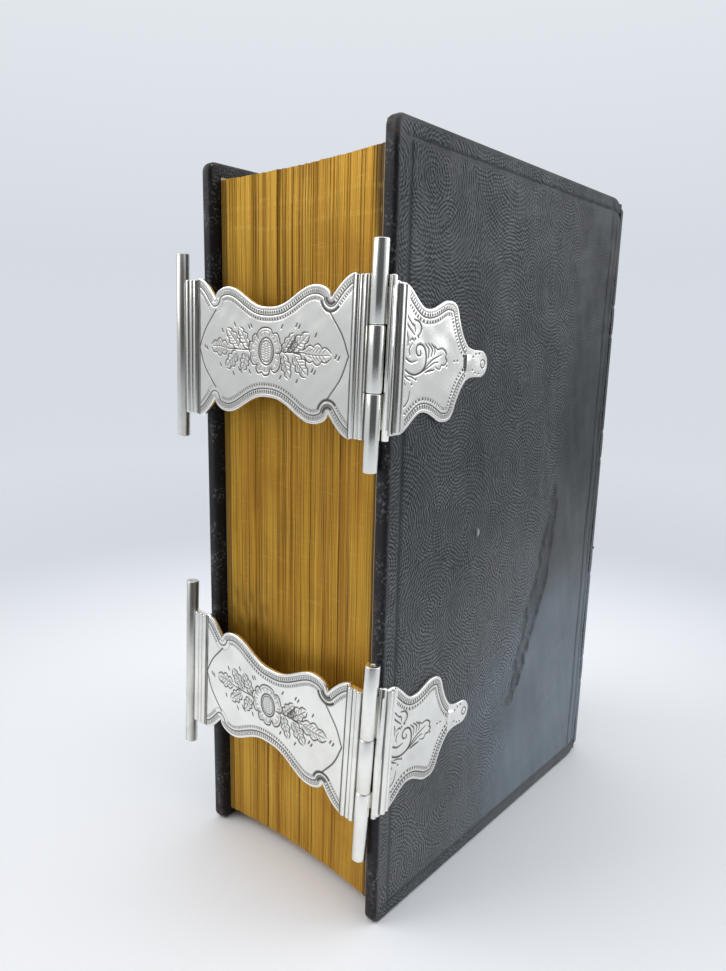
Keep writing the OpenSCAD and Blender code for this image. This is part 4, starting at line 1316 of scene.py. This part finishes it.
def anchor_half(s):
    """Half height of an anchor plate at s from the fore-edge."""
    s = np.asarray(s, float)
    neck = ease(15.4, 10.9, np.clip((s - NECK_S) / 8.4, 0, 1))
    lobe = ease(10.9, 13.2, np.clip((s - WAIST_S) / 7.7, 0, 1) ** 1.15)
    shoulder = np.interp(s, *spline(SHOULDER, 0.1).T)
    tab = np.sqrt(np.clip(TAB_R**2 - np.clip(s - TAB_S, 0, None) ** 2, 0, None))
    parts = [s < NECK_S, s < WAIST_S, s < LOBE_S, s < TAB_S]
    return np.select(parts, [15.4 + 0 * s, neck, lobe, shoulder], tab)


def cover_plate(name, clasp, side):
    """An engraved plate that lies on a cover, with a raised bar and a ring at its tip."""
    tip = ANCHOR_TIP - 0.9 * np.linspace(0.95, 0.08, 9) ** 2
    stations = np.concatenate([steps(-0.2, (35.2, 0.13)), tip])
    half = anchor_half(stations)
    s, t = sheet_grid(stations, half, 0.15)
    fine = np.linspace(1.0, ANCHOR_TIP - 0.001, 1500)
    fine = np.concatenate([fine, ANCHOR_TIP - np.linspace(1, 0, 60) ** 2 * 0.5])
    fine.sort()
    distance, along = outline_field(s, t, outline_of(fine, anchor_half(fine)))
    cut = Engraving(s, t)
    cut.cut = border(distance, along) * smoothstep(*BORDER_START, s) * (s < BORDER_END)
    scroll(cut)
    for s0 in PLATE_LINES:
        cut.stroke(((s0, -15), (s0, 15)), 0.4, 0.0, 0.8)
    turn = np.radians(np.linspace(0, 360, 22))
    cut.stroke(np.stack([RING_S + 0.95 * np.cos(turn), 0.95 * np.sin(turn)], -1), 0.36, 0.0)
    cut.dot(RING_S, 0.0)
    for s0, t0 in PUNCHES:
        cut.dot(s0, t0, 0.28)
    here = np.stack([s, t], -1)
    swell = 0.04 * wobble(here, 14, 81) + 0.02 * wobble(here, 5, 82)
    rim = np.minimum(distance, s + 0.45)
    out = PLATE_T + swell - round_off(np.abs(rim), 0.28) - CUT_DEPTH * cut.cut
    place = plate_place(clasp, side)
    front = place(np.stack([out, s, t], -1))
    back = place(np.stack([0 * s, s, t], -1))
    piece = thin_sheet(front[:, ::-side], back[:, ::-side], cut=cut.cut[:, ::-side])
    kind, word = ("anchor", "rear") if side == REAR else ("catch", "front")
    if side == FRONT:
        low, high = (-62.1, 4.4, clasp["lift"] - 9), (-59.6, 5.6, clasp["lift"] + 9)
        rounded_box(piece, low, high, 0.3, hinge_place(clasp))
    piece.make(f"{name}_{kind}_engraved", SILVER, f"{word}_cover", f"{name}_{kind}_plate", slot="silver")
    plate_studs(name, clasp, side, kind, word)


def plate_studs(name, clasp, side, kind, word):
    """The rivets' shanks, with a raised oblong head on one and a low boss on the other."""
    place = plate_place(clasp, side)
    piece = Piece()
    rounded_box(piece, (PLATE_T - 0.1, 26.2, -1.95), (PLATE_T + 0.46, 28.6, 1.95), 0.22, place)
    for s0, head in ((27.4, 0.2), (RING_S, 0.06)):

        def across(p, s0=s0):
            return place(np.stack([p[..., 2], s0 + p[..., 0], p[..., 1]], -1))

        turned(piece, [(0.5, -2.9), (0.5, PLATE_T + head)], across, 20, closed=False)
    piece.make(f"{name}_{kind}_studs", SILVER, f"{word}_cover", f"{name}_{kind}_rivets", slot="silver")


def anchor_moulding(name, clasp):
    place = plate_place(clasp, REAR)

    def on_plate(p):
        return place(np.stack([PLATE_T + p[..., 1], p[..., 0], p[..., 2]], -1))

    piece = moulding(((1.3, 0.75), (2.8, 0.5)), 0.3, 3.45, 15.0, on_plate)
    node = f"{name}_anchor_beads"
    piece.make(f"{name}_anchor_moulding", SILVER, "rear_cover", node, slot="silver", smooth=35)


def clasps():
    for name, clasp in CLASPS.items():
        strap(name, clasp)
        strap_mouldings(name, clasp)
        hinge(name, clasp)
        closing_rod(name, clasp)
        cover_plate(name, clasp, REAR)
        cover_plate(name, clasp, FRONT)
        anchor_moulding(name, clasp)


# ---- CAD nodes that stay ----


def dress_cad():
    """Materials for the CAD nodes whose shape is right as it is."""
    dress = dict.fromkeys(("spine_lining", "leaf_stubs", "front_pastedown", "rear_pastedown"), PAPER)
    dress |= {"front_board": BOARD, "rear_board": BOARD, "sewing_cords": CORD}
    dress |= {"upper_hook": SILVER, "lower_hook": SILVER}
    for node, material in dress.items():
        shown = frame["nodes"][node]
        shown.data.materials.clear()
        shown.data.materials.append(material)
        if material is SILVER:
            bevel = shown.modifiers.new("eased_edges", "BEVEL")
            bevel.width = 0.12 * MM
            bevel.segments = 3


# ---- camera, floor and light ----

CAMERA_AZIMUTH = 43.13
CAMERA_ELEVATION = 11.67
CAMERA_ROLL = 0.69
CAMERA_DISTANCE = 242.5
CAMERA_TARGET = (-35.98, -1.725, 85.9)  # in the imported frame, mm
CAMERA_LENS = 26.75
CAMERA_SHIFT = (0.040, 0.015)


def make_camera():
    a, e, roll = (math.radians(v) for v in (CAMERA_AZIMUTH, CAMERA_ELEVATION, CAMERA_ROLL))
    back = Vector((math.sin(a) * math.cos(e), -math.cos(a) * math.cos(e), math.sin(e)))
    level = Vector((math.cos(a), math.sin(a), 0))
    upright = back.cross(level)
    right = level * math.cos(roll) + upright * math.sin(roll)
    up = upright * math.cos(roll) - level * math.sin(roll)
    data = bpy.data.cameras.new("camera")
    data.lens = CAMERA_LENS
    data.shift_x, data.shift_y = CAMERA_SHIFT
    data.clip_start, data.clip_end = 0.01, 20
    camera = bpy.data.objects.new("camera", data)
    spot = Matrix.Translation((Vector(CAMERA_TARGET) + back * CAMERA_DISTANCE) * MM)
    camera.matrix_world = spot @ Matrix((right, up, back)).transposed().to_4x4()
    bpy.context.scene.collection.objects.link(camera)
    bpy.context.scene.camera = camera


def floor():
    """A pale floor, painted brighter near the book as a pool of light, that fades into the backdrop some
    way off.
    """
    half = 2.2
    mesh = bpy.data.meshes.new("floor")
    corners = [(-half, -half, 0), (half, -half, 0), (half, half, 0), (-half, half, 0)]
    mesh.from_pydata(corners, [], [(0, 1, 2, 3)])
    m = Material("pale_floor", (0.74, 0.755, 0.785), 0.8)
    away = m.node("ShaderNodeVectorMath", "Value", {0: m.place}, operation="LENGTH")
    # painted light: the floor's colour is brighter near the book and darker further off
    m.finish(Base_Color=m.mix(m.span(away, 0.06, 0.34), (0.92, 0.925, 0.94), (0.60, 0.618, 0.65)))
    faded = m.span(away, 0.28, 0.8)
    clear = m.node("ShaderNodeBsdfTransparent", "BSDF", {})
    mixed = m.node("ShaderNodeMixShader", "Shader", {0: faded, 1: m.shader.outputs[0], 2: clear})
    m.tree.links.new(mixed, m.tree.nodes["Material Output"].inputs["Surface"])
    mesh.materials.append(m.material)
    plane = bpy.data.objects.new("floor", mesh)
    bpy.context.scene.collection.objects.link(plane)


def world():
    """A pale backdrop to look at, and a soft studio round the book to light it."""
    made = bpy.data.worlds.new("studio")
    made.use_nodes = True
    bpy.context.scene.world = made
    m = Nodes(made.node_tree)
    place = m.node("ShaderNodeTexCoord", "Generated", {})
    height = m.node("ShaderNodeSeparateXYZ", "Z", {0: place})

    def ramp(stops):
        """Colours by how far up a direction points, from (height, colour) stops."""
        lift = m.node("ShaderNodeMapRange", "Result", {"Value": height, "From Min": -1, "From Max": 1})
        color = m.node("ShaderNodeValToRGB", "Color", {0: lift})
        elements = color.node.color_ramp.elements
        while len(elements) < len(stops):
            elements.new(0.5)
        for element, (up, shade) in zip(elements, stops):
            element.position = (up + 1) / 2
            element.color = (*shade, 1)
        return color

    def scaled(color, way, dots, levels):
        """Brightens or dims a colour by how far the view is along a direction."""
        dot = m.node("ShaderNodeVectorMath", "Value", {0: place, 1: way}, operation="DOT_PRODUCT")
        level = m.span(dot, *dots, *levels)
        return m.node("ShaderNodeVectorMath", "Vector", {0: color, "Scale": level}, operation="SCALE")

    seen = ramp([(-1, (0.80, 0.83, 0.88)), (-0.3, (0.80, 0.83, 0.88)), (-0.12, (0.68, 0.72, 0.77)),
                 (0.12, (0.67, 0.71, 0.765)), (0.45, (0.78, 0.82, 0.86)), (1, (0.85, 0.88, 0.92))])
    light = ramp([(-1, (0.5, 0.5, 0.52)), (-0.1, (0.62, 0.64, 0.67)), (0.25, (0.74, 0.77, 0.81)),
                  (1, (0.95, 0.98, 1.02))])
    light = scaled(light, (0.6, 0.8, 0.0), (-1, 1), (0.88, 0.9))
    light = scaled(light, (0.67, -0.73, 0.12), (0.55, 0.82), (1.0, 0.13))
    shown = m.mix(m.node("ShaderNodeLightPath", "Is Camera Ray", {}), light, seen)
    m.tree.links.new(shown, m.tree.nodes["Background"].inputs["Color"])


def area_light(name, place, aim, size, power, color=(1, 1, 1)):
    data = bpy.data.lights.new(name, "AREA")
    data.shape = "RECTANGLE"
    data.size, data.size_y = size
    data.energy = power
    data.color = color
    lamp = bpy.data.objects.new(name, data)
    lamp.location = place
    lamp.rotation_euler = (Vector(aim) - Vector(place)).to_track_quat("-Z", "Y").to_euler()
    bpy.context.scene.collection.objects.link(lamp)


def studio():
    floor()
    world()
    middle = (0, 0, 0.09)
    area_light("window", (-0.9, -1.0, 0.9), middle, (1.1, 1.0), 9, (1.0, 0.99, 0.97))
    area_light("overhead", (0.1, 0.1, 1.3), middle, (1.4, 1.4), 4, (0.97, 0.98, 1.0))
    area_light("fill", (0.9, 1.0, 0.6), middle, (0.8, 0.8), 4.5, (0.95, 0.97, 1.0))
    bpy.context.scene.view_settings.view_transform = "Standard"


make_camera()
text_block()
for side_of, names in LEAVES.items():
    for order_of, leaf_name in enumerate(names):
        turning_leaf(side_of, order_of, leaf_name)
end_band("head_band", LEAF_Z[1] + 1.05)
end_band("tail_band", LEAF_Z[0] - 1.05)
covers()
spine_leather()
clasps()
dress_cad()
studio()
